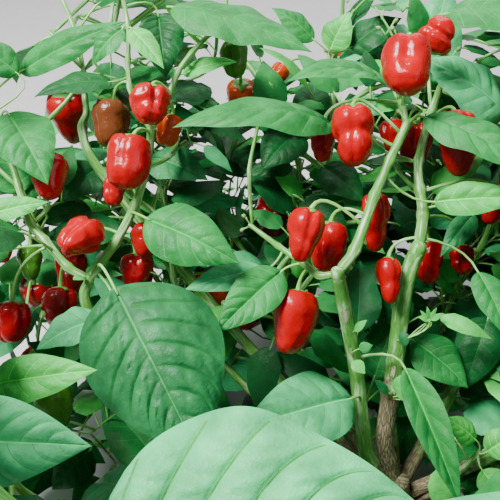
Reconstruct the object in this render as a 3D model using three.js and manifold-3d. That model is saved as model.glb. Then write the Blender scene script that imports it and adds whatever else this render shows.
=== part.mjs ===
// Chilli pepper plant: a bushy plant less than half a metre tall, with a short trunk, spreading boughs and
// masses of broad leaves and lobed fruit. Millimetres, +Z up, origin on the ground under the trunk.
// What the photograph shows is placed from it, each place given by its pixel and its depth along the line
// of sight, and the rest of the crown grows from the boughs by one seeded rule.
import * as THREE from "three";
import Module from "manifold-3d";

const wasm = await Module();
wasm.setup();

// The photograph's view: square, seen from above the front of the plant.
const PHOTO_SIDE = 500; // pixels
const VIEW_ANGLE = 42; // degrees across the picture
const VIEW_PITCH = 40; // degrees below the horizon
const EYE = new THREE.Vector3(-135, -303.5, 603);

// Limbs and twigs.
const GAP = 0.3; // clear space between neighbouring pieces
const SPANS = 2; // of a smooth way, from one given place to the next
const LIMB_SIDES = 6;
const TWIG_SIDES = 3;
const TWIG_CORNER = 1.3; // a three-sided twig as thick as a round one has its corners further out
const TWIG_ROOT = 0.4; // of a twig's radius, where it starts inside its parent
const TWIG_ROOT_LONG = 6;
const STEM_LENGTH = 7; // stub that carries a mass on its bough
const STEM_TAPER = 0.95;

// Leaves.
const LEAF_LENGTH = 104; // of a grown leaf, before its own variation
const LEAF_VARIES = 0.18; // share of its length that a leaf is longer or shorter
const LEAF_SLENDER = 0.58; // width for each unit of length
const WIDTH_VARIES = 0.1;
const LEAF_ARCH = 0.09; // rise of its middle for each unit of length
const LEAF_THICK = 0.02; // at the midrib, for each unit of length
const LEAF_SHARES = [0.24, 0.62]; // of its length, where the blade has a section
const BROAD = 30; // a wider leaf that shows has one more
const BROAD_SHARES = [0.1, 0.36, 0.72];
const OUTLINE_PEAK = 3.0156; // so that the outline is 1 at its widest
const OUTLINE_RISE = 0.6;
const OUTLINE_FALL = 1.1;
const PETIOLE = 30;
const PETIOLE_VARIES = 0.2;
const PETIOLE_WIDE = 2.4;
const PETIOLE_DEEP = 0.8; // of its width
const PETIOLE_ROOT = 0.4; // of its size, where it starts inside its twig
const PETIOLE_SWEEP = 0.45; // how far a shown petiole runs on in line with its blade
const LEAF_RISE = { along: 0.45, up: 0.25 }; // of a petiole that leaves its shoot sideways
const LEAF_DROOP = { least: 0.35, more: 0.4 }; // of the blade below the line of its petiole
const LEAF_TILT = { most: 0.35, inward: 0.3 }; // of its face away from level

// Fruit.
const FRUIT_SIDES = 5;
const FRUIT_LONG = 46;
const FRUIT_WIDE = 37;
const FRUIT_SIZE = { least: 0.75, more: 0.35 };
const FRUIT_OUT = { least: 12, more: 10 }; // from its shoot to its calyx
const FRUIT_SWAY = 0.3; // of a fruit that hangs off the plumb line
const FRUIT_PROFILE = [[0.72, 0.05], [1, 0.32], [0.66, 0.8], [0, 1]]; // width and place from calyx to tip
const PEDICEL_RADII = [0.8, 1.5, 2]; // from the twig to the fruit
const PEDICEL_DROP = 12; // of the calyx below the node
const PEDICEL_SEAT = 2; // inside the fruit
const PEDICEL_ARCH = { least: 10, share: 0.55 }; // height of a shown pedicel's bend over the fruit
const PEDICEL_ABOVE = 12; // the shoot is met nearest to a place so far above the calyx

// How shoots grow.
const INTERNODE = 48; // along a shoot from node to node
const INTERNODE_VARIES = 0.15;
const FORK_ANGLE = 34; // degrees that a side shoot leaves its parent by
const GOLDEN_ANGLE = 137.5; // degrees from leaf to leaf round a shoot
const PAIR_ANGLE = 165; // degrees between the two leaves of a node
const FRUIT_ANGLE = 120;
const NODES = [4, 3]; // along a shoot of each order
const ZIGZAG = 14; // degrees that a shoot turns by at a node
const ZIGZAG_MORE = 12; // at each further try
const SUNWARD = 0.12;
const SHOOT_RADIUS = 2.6;
const SIDE_RADIUS = 2; // of a shoot that leaves one that shows
const SLIMMER = 0.8; // radius at a shoot's end for each unit at its start
const SLIMMEST = 1.6;
const SHOOT_BELOW_NODE = 3; // a side shoot starts so far inside its parent
const LEAF_BELOW_NODE = 6;
const FRUIT_BELOW_NODE = 13;
const TIP_LEAF = 0.8; // size of the leaf at a shoot's end
const MOST_LEAVES = 11; // in a mass, unless it states its own
const FRUIT_CHANCE = 0.25;
const TRIES = { leaf: 4, fruit: 3, node: 5 };
const TRY_TURN = { leaf: 47, fruit: 70, node: 75 }; // degrees round the shoot from try to try
const TRY_SHORTER = 0.1; // of a leaf
const AWAY = new THREE.Vector3(0, 1, -0.1); // from the eye, nearly level

// Room between pieces: each is covered by beads, and two beads may not meet.
const LEAF_BEAD = 4.3;
const LEAF_BEAD_STEP = 7;
const STEM_BEAD_MORE = 1; // more than the stem's own radius
const BEAD_STEP = 4;
const FRUIT_BEADS = [[0.25, 0.92], [0.5, 0.95], [0.78, 0.72]]; // place along the fruit and share of its width
const ROOT_FREE = 12; // length at the root of a stem that may meet what carries it
const BEAD_CELL = 40;
const SLIDES = [0, 5, -5, 10, -10, 15, -15, 20, -20, 27, -27, 35]; // tried along the line of sight
const LOWEST = 12; // height that no leaf or fruit goes below
const OPEN_DEPTH = 540; // nothing grown stands nearer than this inside the picture
const PICTURE_MARGIN = 15; // pixels
const SPACE_MEET = 30; // how far a mass reaches past the middle between it and the next
const CROWN_MIDDLE = new THREE.Vector3(-25, 30, 190);
const CROWN_REACH = new THREE.Vector3(385, 345, 270); // half the crown's width, depth and height

const UP = new THREE.Vector3(0, 0, 1);
const FACE_UP = new THREE.Vector3(0, -0.35, 0.94).normalize();
const radians = THREE.MathUtils.degToRad;
const FOCAL = PHOTO_SIDE / 2 / Math.tan(radians(VIEW_ANGLE / 2));
const LOOK = new THREE.Vector3(0, Math.cos(radians(VIEW_PITCH)), -Math.sin(radians(VIEW_PITCH)));
const LOOK_UP = new THREE.Vector3(0, Math.sin(radians(VIEW_PITCH)), Math.cos(radians(VIEW_PITCH)));

function point(x, y, z) {
  return new THREE.Vector3(x, y, z);
}

// The point of the plant that shows at pixel (u, v), at a depth along the line of sight.
function seen(u, v, depth) {
  const across = (u - PHOTO_SIDE / 2) / FOCAL;
  const above = -(v - PHOTO_SIDE / 2) / FOCAL;
  return EYE.clone()
    .addScaledVector(LOOK, depth)
    .addScaledVector(LOOK_UP, above * depth)
    .add(point(across * depth, 0, 0));
}

function track(...places) {
  return places.map(([u, v, depth]) => seen(u, v, depth));
}

// Pixel and depth of a point, the reverse of seen.
function picture(place) {
  const away = place.clone().sub(EYE);
  const depth = away.dot(LOOK);
  return {
    u: PHOTO_SIDE / 2 + (FOCAL * away.x) / depth,
    v: PHOTO_SIDE / 2 - (FOCAL * away.dot(LOOK_UP)) / depth,
    depth,
  };
}

// Limbs: the trunk, then each bough from inside the trunk to where it enters its mass.
const TRUNK = {
  way: [point(0, 0, 0), point(-1, 0, 9), point(-3, -1, 45), point(-8, -1, 92)],
  radii: [16, 12, 10.8, 10.4],
};
const BOUGHS = {
  right_stem: {
    way: [point(-6, -1, 70), ...track([385, 440, 547], [393, 380, 530], [405, 290, 508], [417, 252, 500])],
    radii: [8.6, 6.6],
  },
  centre_stem: {
    way: [point(-11, -2, 72), ...track([366, 450, 548], [358, 380, 525], [345, 310, 490], [338, 277, 472])],
    radii: [7.8, 5.2],
  },
  left_stem: {
    way: [
      point(-9, 0, 66), point(-110, 15, 112), point(-215, 35, 165),
      ...track([90, 312, 505], [88, 284, 501]),
    ],
    radii: [7.4, 4],
  },
  back_left_stem: {
    way: [point(-6, 1, 64), point(-120, 75, 150), ...track([100, 170, 552], [86, 113, 556], [84, 75, 560])],
    radii: [6.4, 2.2],
  },
  front_stem: {
    way: [point(-6, -2, 58), point(-70, -62, 118), point(-150, -135, 215), point(-192, -178, 290)],
    radii: [6.8, 3.2],
  },
  front_left_stem: {
    way: [
      point(-5, 0, 46), point(-105, -48, 98), point(-215, -98, 180),
      ...track([38, 503, 378], [14, 483, 362]),
    ],
    radii: [6.4, 3],
  },
  front_right_stem: {
    way: [point(-4, -1, 52), point(55, -55, 112), point(110, -112, 185), point(130, -130, 232)],
    radii: [6.8, 3.4],
  },
  far_right_stem: {
    way: [point(-5, 0, 60), point(80, 8, 122), point(152, 14, 185), point(180, 18, 230)],
    radii: [6.8, 3.4],
  },
  back_right_stem: {
    way: [point(-6, 0, 68), point(60, 80, 155), point(108, 145, 232), point(122, 165, 275)],
    radii: [6.6, 3.4],
  },
  back_stem: {
    way: [point(-7, 0, 74), point(-20, 80, 160), point(-55, 160, 235), point(-66, 188, 278)],
    radii: [6.6, 3.2],
  },
  inner_stem: {
    way: [point(-8, 1, 62), point(-60, 55, 120), point(-110, 95, 185)],
    radii: [6, 3.2],
  },
  left_back_stem: {
    way: [point(-6, 1, 48), point(-110, 55, 105), point(-195, 100, 180)],
    radii: [6, 3],
  },
  low_left_stem: {
    way: [point(-3, 0, 36), point(-80, -28, 70), point(-150, -48, 120)],
    radii: [5.2, 2.6],
  },
  low_right_stem: {
    way: [point(-4, 0, 42), point(30, -2, 80), point(52, 0, 125)],
    radii: [5, 2.6],
  },
  low_front_stem: {
    way: [point(-4, -1, 44), point(-8, -62, 92), point(-20, -122, 160)],
    radii: [5.2, 2.6],
  },
  low_back_stem: {
    way: [point(-4, 0, 38), point(30, 75, 85), point(50, 130, 140)],
    radii: [5.2, 2.6],
  },
};

// Masses: the bough that carries each, the shoots that show, and how many shoots the rule starts from the
// stem. "from" names the shoot, counted from 0, that a shoot leaves.
const MASSES = {
  foliage_top_right: {
    bough: "right_stem",
    shoots: [
      {
        way: track([423, 215, 505], [420, 190, 510], [419, 160, 518], [432, 110, 535], [450, 60, 552]),
        radii: [4.6, 2.4],
      },
    ],
    grown: 1,
  },
  foliage_centre_right: {
    bough: "centre_stem",
    shoots: [
      { way: track([355, 250, 474], [375, 195, 482], [390, 160, 488], [408, 122, 495]), radii: [4.2, 3.4] },
      { from: 0, way: track([403, 110, 505], [394, 84, 532], [399, 40, 548]), radii: [2.8, 1.8] },
      { way: track([320, 276, 476], [303, 263, 486], [278, 246, 505], [250, 225, 530]), radii: [3, 1.8] },
    ],
    grown: 0,
  },
  foliage_left: {
    bough: "left_stem",
    shoots: [
      {
        way: track(
          [68, 267, 500], [45, 240, 504], [30, 222, 508],
          [18, 185, 513], [5, 150, 520], [-25, 118, 530],
        ),
        radii: [3.6, 2],
      },
      { way: track([115, 243, 503], [135, 205, 505], [147, 165, 505], [151, 127, 505]), radii: [3.8, 3] },
      {
        from: 1,
        way: track([168, 98, 506], [177, 74, 508], [192, 53, 511], [210, 34, 516]),
        radii: [2.8, 1.8],
      },
      {
        from: 1,
        way: track([140, 110, 506], [130, 88, 506], [128, 60, 505], [128, 25, 502], [120, -12, 502]),
        radii: [2.4, 1.6],
      },
    ],
    grown: 0,
    most: 26,
  },
  foliage_back_left: {
    bough: "back_left_stem",
    shoots: [{ way: track([72, 22, 564], [58, -8, 568]), radii: [2.2, 1.8] }],
    grown: 3,
  },
  foliage_front: { bough: "front_stem", shoots: [], grown: 2 },
  foliage_front_left: {
    bough: "front_left_stem",
    shoots: [{ way: track([-12, 462, 352], [-45, 432, 348]), radii: [2.8, 2] }],
    grown: 1,
  },
  foliage_front_right: { bough: "front_right_stem", shoots: [], grown: 3 },
  foliage_far_right: { bough: "far_right_stem", shoots: [], grown: 3 },
  foliage_back_right: { bough: "back_right_stem", shoots: [], grown: 3 },
  foliage_back: {
    bough: "back_stem",
    shoots: [{ way: track([322, 110, 600], [330, 50, 604]), radii: [2.6, 1.8] }],
    grown: 3,
  },
  foliage_inner: {
    bough: "inner_stem",
    shoots: [
      { way: track([300, 190, 588], [285, 125, 596]), radii: [2.6, 1.8] },
      { way: track([330, 250, 575], [350, 180, 580]), radii: [2.6, 1.8] },
    ],
    grown: 3,
  },
  foliage_left_back: {
    bough: "left_back_stem",
    shoots: [{ way: track([165, 210, 582], [150, 150, 590]), radii: [2.6, 1.8] }],
    grown: 3,
  },
  foliage_low_left: { bough: "low_left_stem", shoots: [], grown: 2 },
  foliage_low_right: { bough: "low_right_stem", shoots: [], grown: 2 },
  foliage_low_front: { bough: "low_front_stem", shoots: [], grown: 3 },
  foliage_low_back: { bough: "low_back_stem", shoots: [], grown: 2 },
};

// Leaves that show: base and tip of the blade, its width, how far it is rolled about its length in degrees,
// and how far its middle is arched.
const LEAVES = {
  foliage_left: [
    { base: [114, 287, 452], tip: [203, 464, 412], wide: 98, roll: 0, arch: 10 },
    { base: [146, 218, 480], tip: [240, 264, 462], wide: 46, roll: 10, arch: 6 },
    { base: [172, 7, 498], tip: [312, 52, 480], wide: 52, roll: -10, arch: 6 },
    { base: [158, 14, 530], tip: [166, 78, 520], wide: 38, roll: 0, arch: 4 },
    { base: [131, 28, 503], tip: [164, 69, 492], wide: 19, roll: 0, arch: 3 },
    { base: [166, 70, 522], tip: [98, 96, 510], wide: 26, roll: 10, arch: 4 },
    { base: [123, 28, 512], tip: [92, 66, 520], wide: 26, roll: 0, arch: 4 },
    { base: [92, 273, 497], tip: [123, 275, 490], wide: 10, roll: 0, arch: 1 },
    { base: [183, 74, 520], tip: [238, 62, 512], wide: 18, roll: 0, arch: 4 },
    { base: [112, 82, 528], tip: [34, 97, 515], wide: 30, roll: 12, arch: 6 },
    { base: [8, 113, 515], tip: [48, 185, 486], wide: 50, roll: -8, arch: 8 },
    { base: [-14, 215, 495], tip: [49, 202, 498], wide: 20, roll: 10, arch: 3 },
    { base: [84, 277, 496], tip: [73, 280, 480], wide: 9, roll: 0, arch: 1 },
    { base: [103, 318, 470], tip: [36, 350, 452], wide: 32, roll: 10, arch: 5 },
    { base: [20, 72, 545], tip: [128, 21, 520], wide: 30, roll: 20, arch: 6 },
    { base: [18, 74, 548], tip: [-40, 40, 540], wide: 32, roll: 0, arch: 6 },
  ],
  foliage_front: [{ base: [118, 527, 275], tip: [508, 545, 265], wide: 112, roll: 0, arch: 8 }],
  foliage_front_left: [
    { base: [-76, 440, 335], tip: [92, 446, 338], wide: 48, roll: 8, arch: 6 },
    { base: [-10, 385, 402], tip: [98, 370, 396], wide: 30, roll: 8, arch: 4 },
  ],
  foliage_centre_right: [
    { base: [332, 126, 507], tip: [172, 128, 470], wide: 52, roll: 20, arch: 16 },
    { base: [388, 85, 505], tip: [286, 82, 480], wide: 40, roll: 20, arch: 12 },
    { base: [424, 117, 485], tip: [545, 178, 450], wide: 42, roll: -10, arch: 6 },
    { base: [434, 202, 492], tip: [528, 198, 470], wide: 26, roll: 20, arch: 6 },
    { base: [290, 271, 480], tip: [230, 340, 455], wide: 44, roll: 0, arch: 5 },
    { base: [264, 270, 487], tip: [184, 290, 470], wide: 26, roll: 0, arch: 5 },
  ],
  foliage_inner: [
    { base: [302, 200, 545], tip: [350, 242, 532], wide: 32, roll: 0, arch: 4 },
    { base: [322, 166, 556], tip: [364, 202, 540], wide: 36, roll: 0, arch: 4 },
    { base: [298, 130, 568], tip: [262, 170, 552], wide: 42, roll: 0, arch: 5 },
    { base: [292, 166, 565], tip: [243, 176, 555], wide: 22, roll: 0, arch: 5 },
  ],
  foliage_left_back: [
    { base: [150, 158, 560], tip: [208, 180, 545], wide: 38, roll: 0, arch: 5 },
    { base: [100, 166, 565], tip: [58, 204, 550], wide: 40, roll: 0, arch: 5 },
    { base: [92, 212, 560], tip: [36, 222, 545], wide: 34, roll: 0, arch: 5 },
  ],
  foliage_back: [
    { base: [330, 50, 596], tip: [350, 12, 585], wide: 30, roll: 0, arch: 4 },
    { base: [314, 40, 596], tip: [272, 8, 588], wide: 28, roll: 0, arch: 4 },
    { base: [350, 48, 590], tip: [402, 18, 578], wide: 36, roll: 0, arch: 5 },
  ],
  foliage_low_right: [
    { base: [476, 440, 528], tip: [446, 417, 515], wide: 22, roll: 0, arch: 2 },
    { base: [486, 452, 526], tip: [522, 430, 512], wide: 24, roll: 0, arch: 2 },
    { base: [482, 470, 530], tip: [508, 506, 516], wide: 26, roll: 0, arch: 2 },
  ],
  foliage_top_right: [
    { base: [506, 116, 540], tip: [420, 58, 535], wide: 56, roll: 0, arch: 8 },
    { base: [446, 14, 520], tip: [560, 24, 500], wide: 48, roll: -10, arch: 8 },
    { base: [478, 272, 498], tip: [507, 338, 480], wide: 26, roll: 0, arch: 5 },
    { base: [474, 214, 525], tip: [440, 257, 512], wide: 20, roll: 0, arch: 5 },
  ],
};

// Leaves borne on a bough itself, each with its place on it.
const SIDE_LEAVES = {
  side_leaf_low: {
    bough: "centre_stem",
    at: seen(358, 398, 530),
    leaf: { base: [352, 398, 515], tip: [238, 430, 470], wide: 56, roll: 0, arch: 6 },
  },
  side_leaf_curled: {
    bough: "centre_stem",
    at: seen(358, 356, 516),
    leaf: { base: [405, 368, 502], tip: [462, 507, 470], wide: 34, roll: 0, arch: 10 },
  },
  side_leaf_right: {
    bough: "right_stem",
    at: seen(396, 345, 520),
    leaf: { base: [412, 340, 528], tip: [468, 388, 515], wide: 40, roll: 0, arch: 6 },
  },
  side_leaf_slim: {
    bough: "right_stem",
    at: seen(399, 330, 517),
    leaf: { base: [440, 317, 512], tip: [492, 339, 500], wide: 15, roll: 0, arch: 2 },
  },
};

// Fruit that show: calyx and tip, and width.
const FRUITS = {
  foliage_centre_right: [
    { top: [297, 293, 472], tip: [290, 355, 466], wide: 36 },
    { top: [409, 42, 490], tip: [404, 95, 480], wide: 36 },
    { top: [352, 110, 500], tip: [355, 166, 494], wide: 33 },
    { top: [310, 212, 470], tip: [299, 262, 464], wide: 27 },
    { top: [430, 50, 530], tip: [447, 17, 522], wide: 30 },
    { top: [330, 225, 512], tip: [325, 272, 506], wide: 29 },
    { top: [374, 196, 500], tip: [377, 252, 506], wide: 22 },
    { top: [394, 122, 515], tip: [392, 152, 512], wide: 22 },
    { top: [322, 130, 525], tip: [322, 162, 520], wide: 20 },
  ],
  foliage_left: [
    { top: [132, 139, 500], tip: [123, 190, 494], wide: 34 },
    { top: [151, 89, 500], tip: [149, 124, 495], wide: 31 },
    { top: [93, 230, 500], tip: [64, 250, 470], wide: 30 },
    { top: [172, 118, 525], tip: [164, 146, 520], wide: 22 },
    { top: [112, 104, 540], tip: [110, 147, 535], wide: 32 },
    { top: [136, 257, 520], tip: [135, 290, 512], wide: 28 },
    { top: [115, 178, 510], tip: [112, 206, 508], wide: 18 },
    { top: [146, 226, 540], tip: [147, 258, 532], wide: 26 },
    { top: [236, 44, 540], tip: [234, 77, 535], wide: 24 },
    { top: [50, 158, 520], tip: [50, 199, 510], wide: 30 },
    { top: [60, 290, 525], tip: [59, 330, 518], wide: 30 },
    { top: [12, 304, 530], tip: [12, 343, 524], wide: 30 },
    { top: [30, 248, 528], tip: [30, 281, 522], wide: 22 },
    { top: [2, 234, 528], tip: [1, 263, 524], wide: 20 },
  ],
  foliage_front_left: [{ top: [53, 385, 440], tip: [55, 430, 436], wide: 27 }],
  foliage_top_right: [
    { top: [456, 115, 505], tip: [460, 176, 498], wide: 32 },
    { top: [388, 260, 512], tip: [389, 304, 506], wide: 20 },
    { top: [428, 243, 525], tip: [428, 284, 518], wide: 26 },
    { top: [416, 126, 530], tip: [413, 168, 524], wide: 30 },
    { top: [462, 247, 520], tip: [462, 274, 515], wide: 20 },
    { top: [493, 203, 522], tip: [488, 224, 518], wide: 17 },
  ],
  foliage_left_back: [{ top: [72, 250, 560], tip: [70, 296, 552], wide: 28 }],
  foliage_back: [{ top: [283, 67, 596], tip: [270, 86, 590], wide: 18 }],
};

// Numbers from 0 to 1 that follow from a seed.
function seeded(seed) {
  let state = seed >>> 0;
  return () => {
    state = (Math.imul(state, 1664525) + 1013904223) >>> 0;
    return state / 4294967296;
  };
}

function varied(share, random) {
  return 1 - share + 2 * share * random();
}

function between({ least, more }, random) {
  return least + more * random();
}

// A smooth way through points, and the radius along it.
function smoothWay(points) {
  const curve = new THREE.CatmullRomCurve3(points, false, "catmullrom", 0.5);
  return curve.getPoints((points.length - 1) * SPANS);
}

function radiusAlong(radii, share) {
  const place = share * (radii.length - 1);
  const k = Math.min(Math.floor(place), radii.length - 2);
  return radii[k] + (radii[k + 1] - radii[k]) * (place - k);
}

function bend(from, control, to) {
  return new THREE.QuadraticBezierCurve3(from, control, to).getPoints(2);
}

// The closed skin through rings of points; a ring of one point is a tip.
function loft(rings) {
  const faces = [];
  let start = 0;
  const close = (ring, first, flip) => {
    for (let i = 1; i + 1 < ring.length; i++) {
      if (flip) faces.push(first, first + i + 1, first + i);
      else faces.push(first, first + i, first + i + 1);
    }
  };
  close(rings[0], 0, true);
  for (let k = 0; k + 1 < rings.length; k++) {
    const near = rings[k].length;
    const far = rings[k + 1].length;
    const count = Math.max(near, far);
    const next = start + near;
    for (let i = 0; i < count; i++) {
      const j = (i + 1) % count;
      if (far === 1) faces.push(start + i, start + j, next);
      else if (near === 1) faces.push(start, next + j, next + i);
      else faces.push(start + i, start + j, next + j, start + i, next + j, next + i);
    }
    start = next;
  }
  close(rings[rings.length - 1], start, false);
  return new THREE.BufferGeometry().setFromPoints(rings.flat()).setIndex(faces);
}

function solidOf(geometry) {
  return new wasm.Manifold(
    new wasm.Mesh({
      numProp: 3,
      vertProperties: geometry.attributes.position.array,
      triVerts: new Uint32Array(geometry.index.array),
    }),
  );
}

// A tapering stem along a way. A stem with a foot has its first section square to that direction.
function stemSolid({ way, radii, foot }, sides, more = 0) {
  const last = way.length - 1;
  let side = null;
  const rings = way.map((place, k) => {
    const along = way[Math.min(k + 1, last)].clone().sub(way[Math.max(k - 1, 0)]).normalize();
    if (foot && k === 0) along.copy(foot);
    if (!side) side = Math.abs(along.x) > 0.8 ? point(0, 1, 0) : point(1, 0, 0);
    side = side.clone().addScaledVector(along, -side.dot(along)).normalize();
    const other = along.clone().cross(side);
    const radius = radiusAlong(radii, k / last) + more;
    if (radius === 0) return [place.clone()];
    return Array.from({ length: sides }, (_, i) => {
      const turn = (2 * Math.PI * i) / sides;
      return place
        .clone()
        .addScaledVector(side, radius * Math.cos(turn))
        .addScaledVector(other, radius * Math.sin(turn));
    });
  });
  return solidOf(loft(rings));
}

// A twig's solid starts slim on the axis of what carries it, and is full once it is outside.
function twigSolid({ way, radii }) {
  const first = way[1].clone().sub(way[0]);
  const out = way[0].clone().addScaledVector(first, TWIG_ROOT_LONG / first.length());
  const full = way.map((place, k) => TWIG_CORNER * radiusAlong(radii, k / (way.length - 1)));
  const whole = { way: [way[0], out, ...way.slice(1)], radii: [full[0] * TWIG_ROOT, ...full] };
  return stemSolid(whole, TWIG_SIDES);
}

// Width of a leaf at a share of its length, for each unit of its greatest width.
function leafOutline(share) {
  return OUTLINE_PEAK * share ** OUTLINE_RISE * (1 - share) ** OUTLINE_FALL;
}

function leafFrame(leaf) {
  const along = leaf.tip.clone().sub(leaf.base).normalize();
  const across = along.clone().cross(leaf.up).normalize();
  const normal = across.clone().cross(along);
  return { across, normal };
}

function leafMiddle(leaf, frame, share) {
  const rise = leaf.arch * 4 * share * (1 - share);
  return leaf.base.clone().lerp(leaf.tip, share).addScaledVector(frame.normal, rise);
}

// A leaf: its petiole and blade in one solid, each section a flat-topped triangle. The petiole's sections
// turn with its way, from the blade back to the root.
function leafSolid(leaf) {
  const frame = leafFrame(leaf);
  const section = (middle, across, normal, half, deep) => [
    middle.clone().addScaledVector(across, half),
    middle.clone().addScaledVector(normal, -deep),
    middle.clone().addScaledVector(across, -half),
  ];
  const rings = [];
  let { across } = frame;
  for (let k = leaf.petiole.length - 1; k >= 0; k--) {
    const place = leaf.petiole[k];
    const along = k ? place.clone().sub(leaf.petiole[k - 1]) : leaf.petiole[1].clone().sub(place);
    along.normalize();
    across = across.clone().addScaledVector(along, -across.dot(along)).normalize();
    const wide = PETIOLE_WIDE * (k ? 1 : PETIOLE_ROOT);
    rings.unshift(section(place, across, across.clone().cross(along), wide / 2, wide * PETIOLE_DEEP));
  }
  const thick = LEAF_THICK * leaf.tip.distanceTo(leaf.base);
  for (const share of leaf.shares) {
    const half = (leaf.wide / 2) * leafOutline(share);
    rings.push(section(leafMiddle(leaf, frame, share), frame.across, frame.normal, half, thick));
  }
  rings.push([leaf.tip.clone()]);
  return solidOf(loft(rings));
}

// A fruit on its pedicel, one solid: shoulders, a waist and a blunt tip.
function fruitSolid(fruit) {
  const way = [...fruit.pedicel];
  const radii = fruit.pedicel.map((place, k) => radiusAlong(PEDICEL_RADII, k / (fruit.pedicel.length - 1)));
  for (const [wide, share] of FRUIT_PROFILE) {
    way.push(fruit.top.clone().lerp(fruit.tip, share));
    radii.push((fruit.wide / 2) * wide);
  }
  return stemSolid({ way, radii }, FRUIT_SIDES);
}

// Beads: points with a radius that stand for a piece when room is looked for.
const taken = new Map();

function cellsOf(bead) {
  return bead.at.toArray().map((x) => Math.floor(x / BEAD_CELL));
}

function keepBeads(beads) {
  for (const bead of beads) {
    const key = cellsOf(bead).join();
    if (!taken.has(key)) taken.set(key, []);
    taken.get(key).push(bead);
  }
}

function meets(bead, other) {
  if (bead.woody && other.woody && bead.mass === other.mass) return false;
  return bead.at.distanceTo(other.at) < bead.radius + other.radius;
}

function hasRoom(beads) {
  return beads.every((bead) => {
    if (bead.at.z - bead.radius < LOWEST) return false;
    const [x, y, z] = cellsOf(bead);
    for (let i = x - 1; i <= x + 1; i++)
      for (let j = y - 1; j <= y + 1; j++)
        for (let k = z - 1; k <= z + 1; k++)
          if (taken.get([i, j, k].join())?.some((other) => meets(bead, other))) return false;
    return true;
  });
}

// The first part of a stem, of the length given as free, has no beads.
function stemBeads(way, radii, mass, free) {
  const beads = [];
  let gone = 0;
  for (let k = 0; k + 1 < way.length; k++) {
    const length = way[k].distanceTo(way[k + 1]);
    const steps = Math.max(1, Math.round(length / BEAD_STEP));
    for (let i = 0; i < steps; i++) {
      if (gone + (length * i) / steps < free) continue;
      const share = (k + i / steps) / (way.length - 1);
      beads.push({
        at: way[k].clone().lerp(way[k + 1], i / steps),
        radius: radiusAlong(radii, share) + STEM_BEAD_MORE,
        woody: true,
        mass,
      });
    }
    gone += length;
  }
  return beads;
}

function leafBeads(leaf, mass) {
  const frame = leafFrame(leaf);
  const beads = stemBeads(leaf.petiole, [PETIOLE_WIDE / 2, PETIOLE_WIDE / 2], mass, ROOT_FREE);
  const rows = Math.max(3, Math.round(leaf.tip.distanceTo(leaf.base) / LEAF_BEAD_STEP));
  for (let row = 1; row <= rows; row++) {
    const half = (leaf.wide / 2) * leafOutline(row / rows);
    const middle = leafMiddle(leaf, frame, row / rows);
    const columns = Math.ceil(half / LEAF_BEAD_STEP);
    for (let column = -columns; column <= columns; column++) {
      const across = columns ? (half * column) / columns : 0;
      const at = middle.clone().addScaledVector(frame.across, across);
      beads.push({ at, radius: LEAF_BEAD, woody: false, mass });
    }
  }
  return beads;
}

function fruitBeads(fruit, mass) {
  const beads = stemBeads(fruit.pedicel, PEDICEL_RADII, mass, ROOT_FREE);
  for (const [share, wide] of FRUIT_BEADS) {
    const at = fruit.top.clone().lerp(fruit.tip, share);
    beads.push({ at, radius: (fruit.wide / 2) * wide + STEM_BEAD_MORE, woody: false, mass });
  }
  return beads;
}

// What each node is made of, filled in as the plant grows, and the middle of each mass.
const limbs = {};
const pieces = {};
const centres = new Map();

function nearestOn(ways, place) {
  let best = null;
  for (const way of ways)
    for (let k = 0; k + 1 < way.length; k++) {
      const spot = new THREE.Line3(way[k], way[k + 1]).closestPointToPoint(place, true, point(0, 0, 0));
      if (!best || spot.distanceTo(place) < best.distanceTo(place)) best = spot;
    }
  return best;
}

function shownLeaf(spec, ways, slide) {
  const [base, tip] = [spec.base, spec.tip].map(([u, v, depth]) => seen(u, v, depth + slide));
  const along = tip.clone().sub(base).normalize();
  const root = nearestOn(ways, base);
  const control = base.clone().addScaledVector(along, -PETIOLE_SWEEP * root.distanceTo(base));
  return {
    base,
    tip,
    up: FACE_UP.clone().applyAxisAngle(along, radians(spec.roll)),
    wide: spec.wide,
    arch: spec.arch,
    shares: spec.wide > BROAD ? BROAD_SHARES : LEAF_SHARES,
    petiole: bend(root, control, base),
  };
}

function shownFruit(spec, ways, slide) {
  const [top, tip] = [spec.top, spec.tip].map(([u, v, depth]) => seen(u, v, depth + slide));
  const along = tip.clone().sub(top).normalize();
  const root = nearestOn(ways, top.clone().addScaledVector(UP, PEDICEL_ABOVE));
  const rise = Math.max(PEDICEL_ARCH.least, PEDICEL_ARCH.share * root.distanceTo(top));
  const control = top.clone().addScaledVector(along, -rise);
  const seat = top.clone().addScaledVector(along, PEDICEL_SEAT);
  return { top, tip, wide: spec.wide, pedicel: bend(root, control, seat) };
}

// A piece that shows slides along its line of sight until it has room.
function settle(mass, spec, ways, make, beadsOf, list) {
  for (const slide of SLIDES) {
    const piece = make(spec, ways, slide);
    const beads = beadsOf(piece, mass);
    if (!hasRoom(beads)) continue;
    keepBeads(beads);
    list.push(piece);
    return;
  }
}

// Growth: inside the crown and its mass's own space, and not in front of what shows.
function hidesView(place) {
  const { u, v, depth } = picture(place);
  const inside = (x) => x > -PICTURE_MARGIN && x < PHOTO_SIDE + PICTURE_MARGIN;
  return inside(u) && inside(v) && depth < OPEN_DEPTH;
}

function ownSpace(mass, place) {
  const reach = centres.get(mass).distanceTo(place) - SPACE_MEET;
  return [...centres.values()].every((centre) => centre.distanceTo(place) >= reach);
}

function inCrown(place) {
  const { x, y, z } = place.clone().sub(CROWN_MIDDLE).divide(CROWN_REACH);
  return x ** 4 + y ** 4 + z ** 4 < 1;
}

function fits(mass, beads, places) {
  const free = (place) => inCrown(place) && !hidesView(place) && ownSpace(mass, place);
  return places.every(free) && hasRoom(beads);
}

function turned(along, side, angle) {
  return along.clone().applyAxisAngle(side, radians(angle)).normalize();
}

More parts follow.
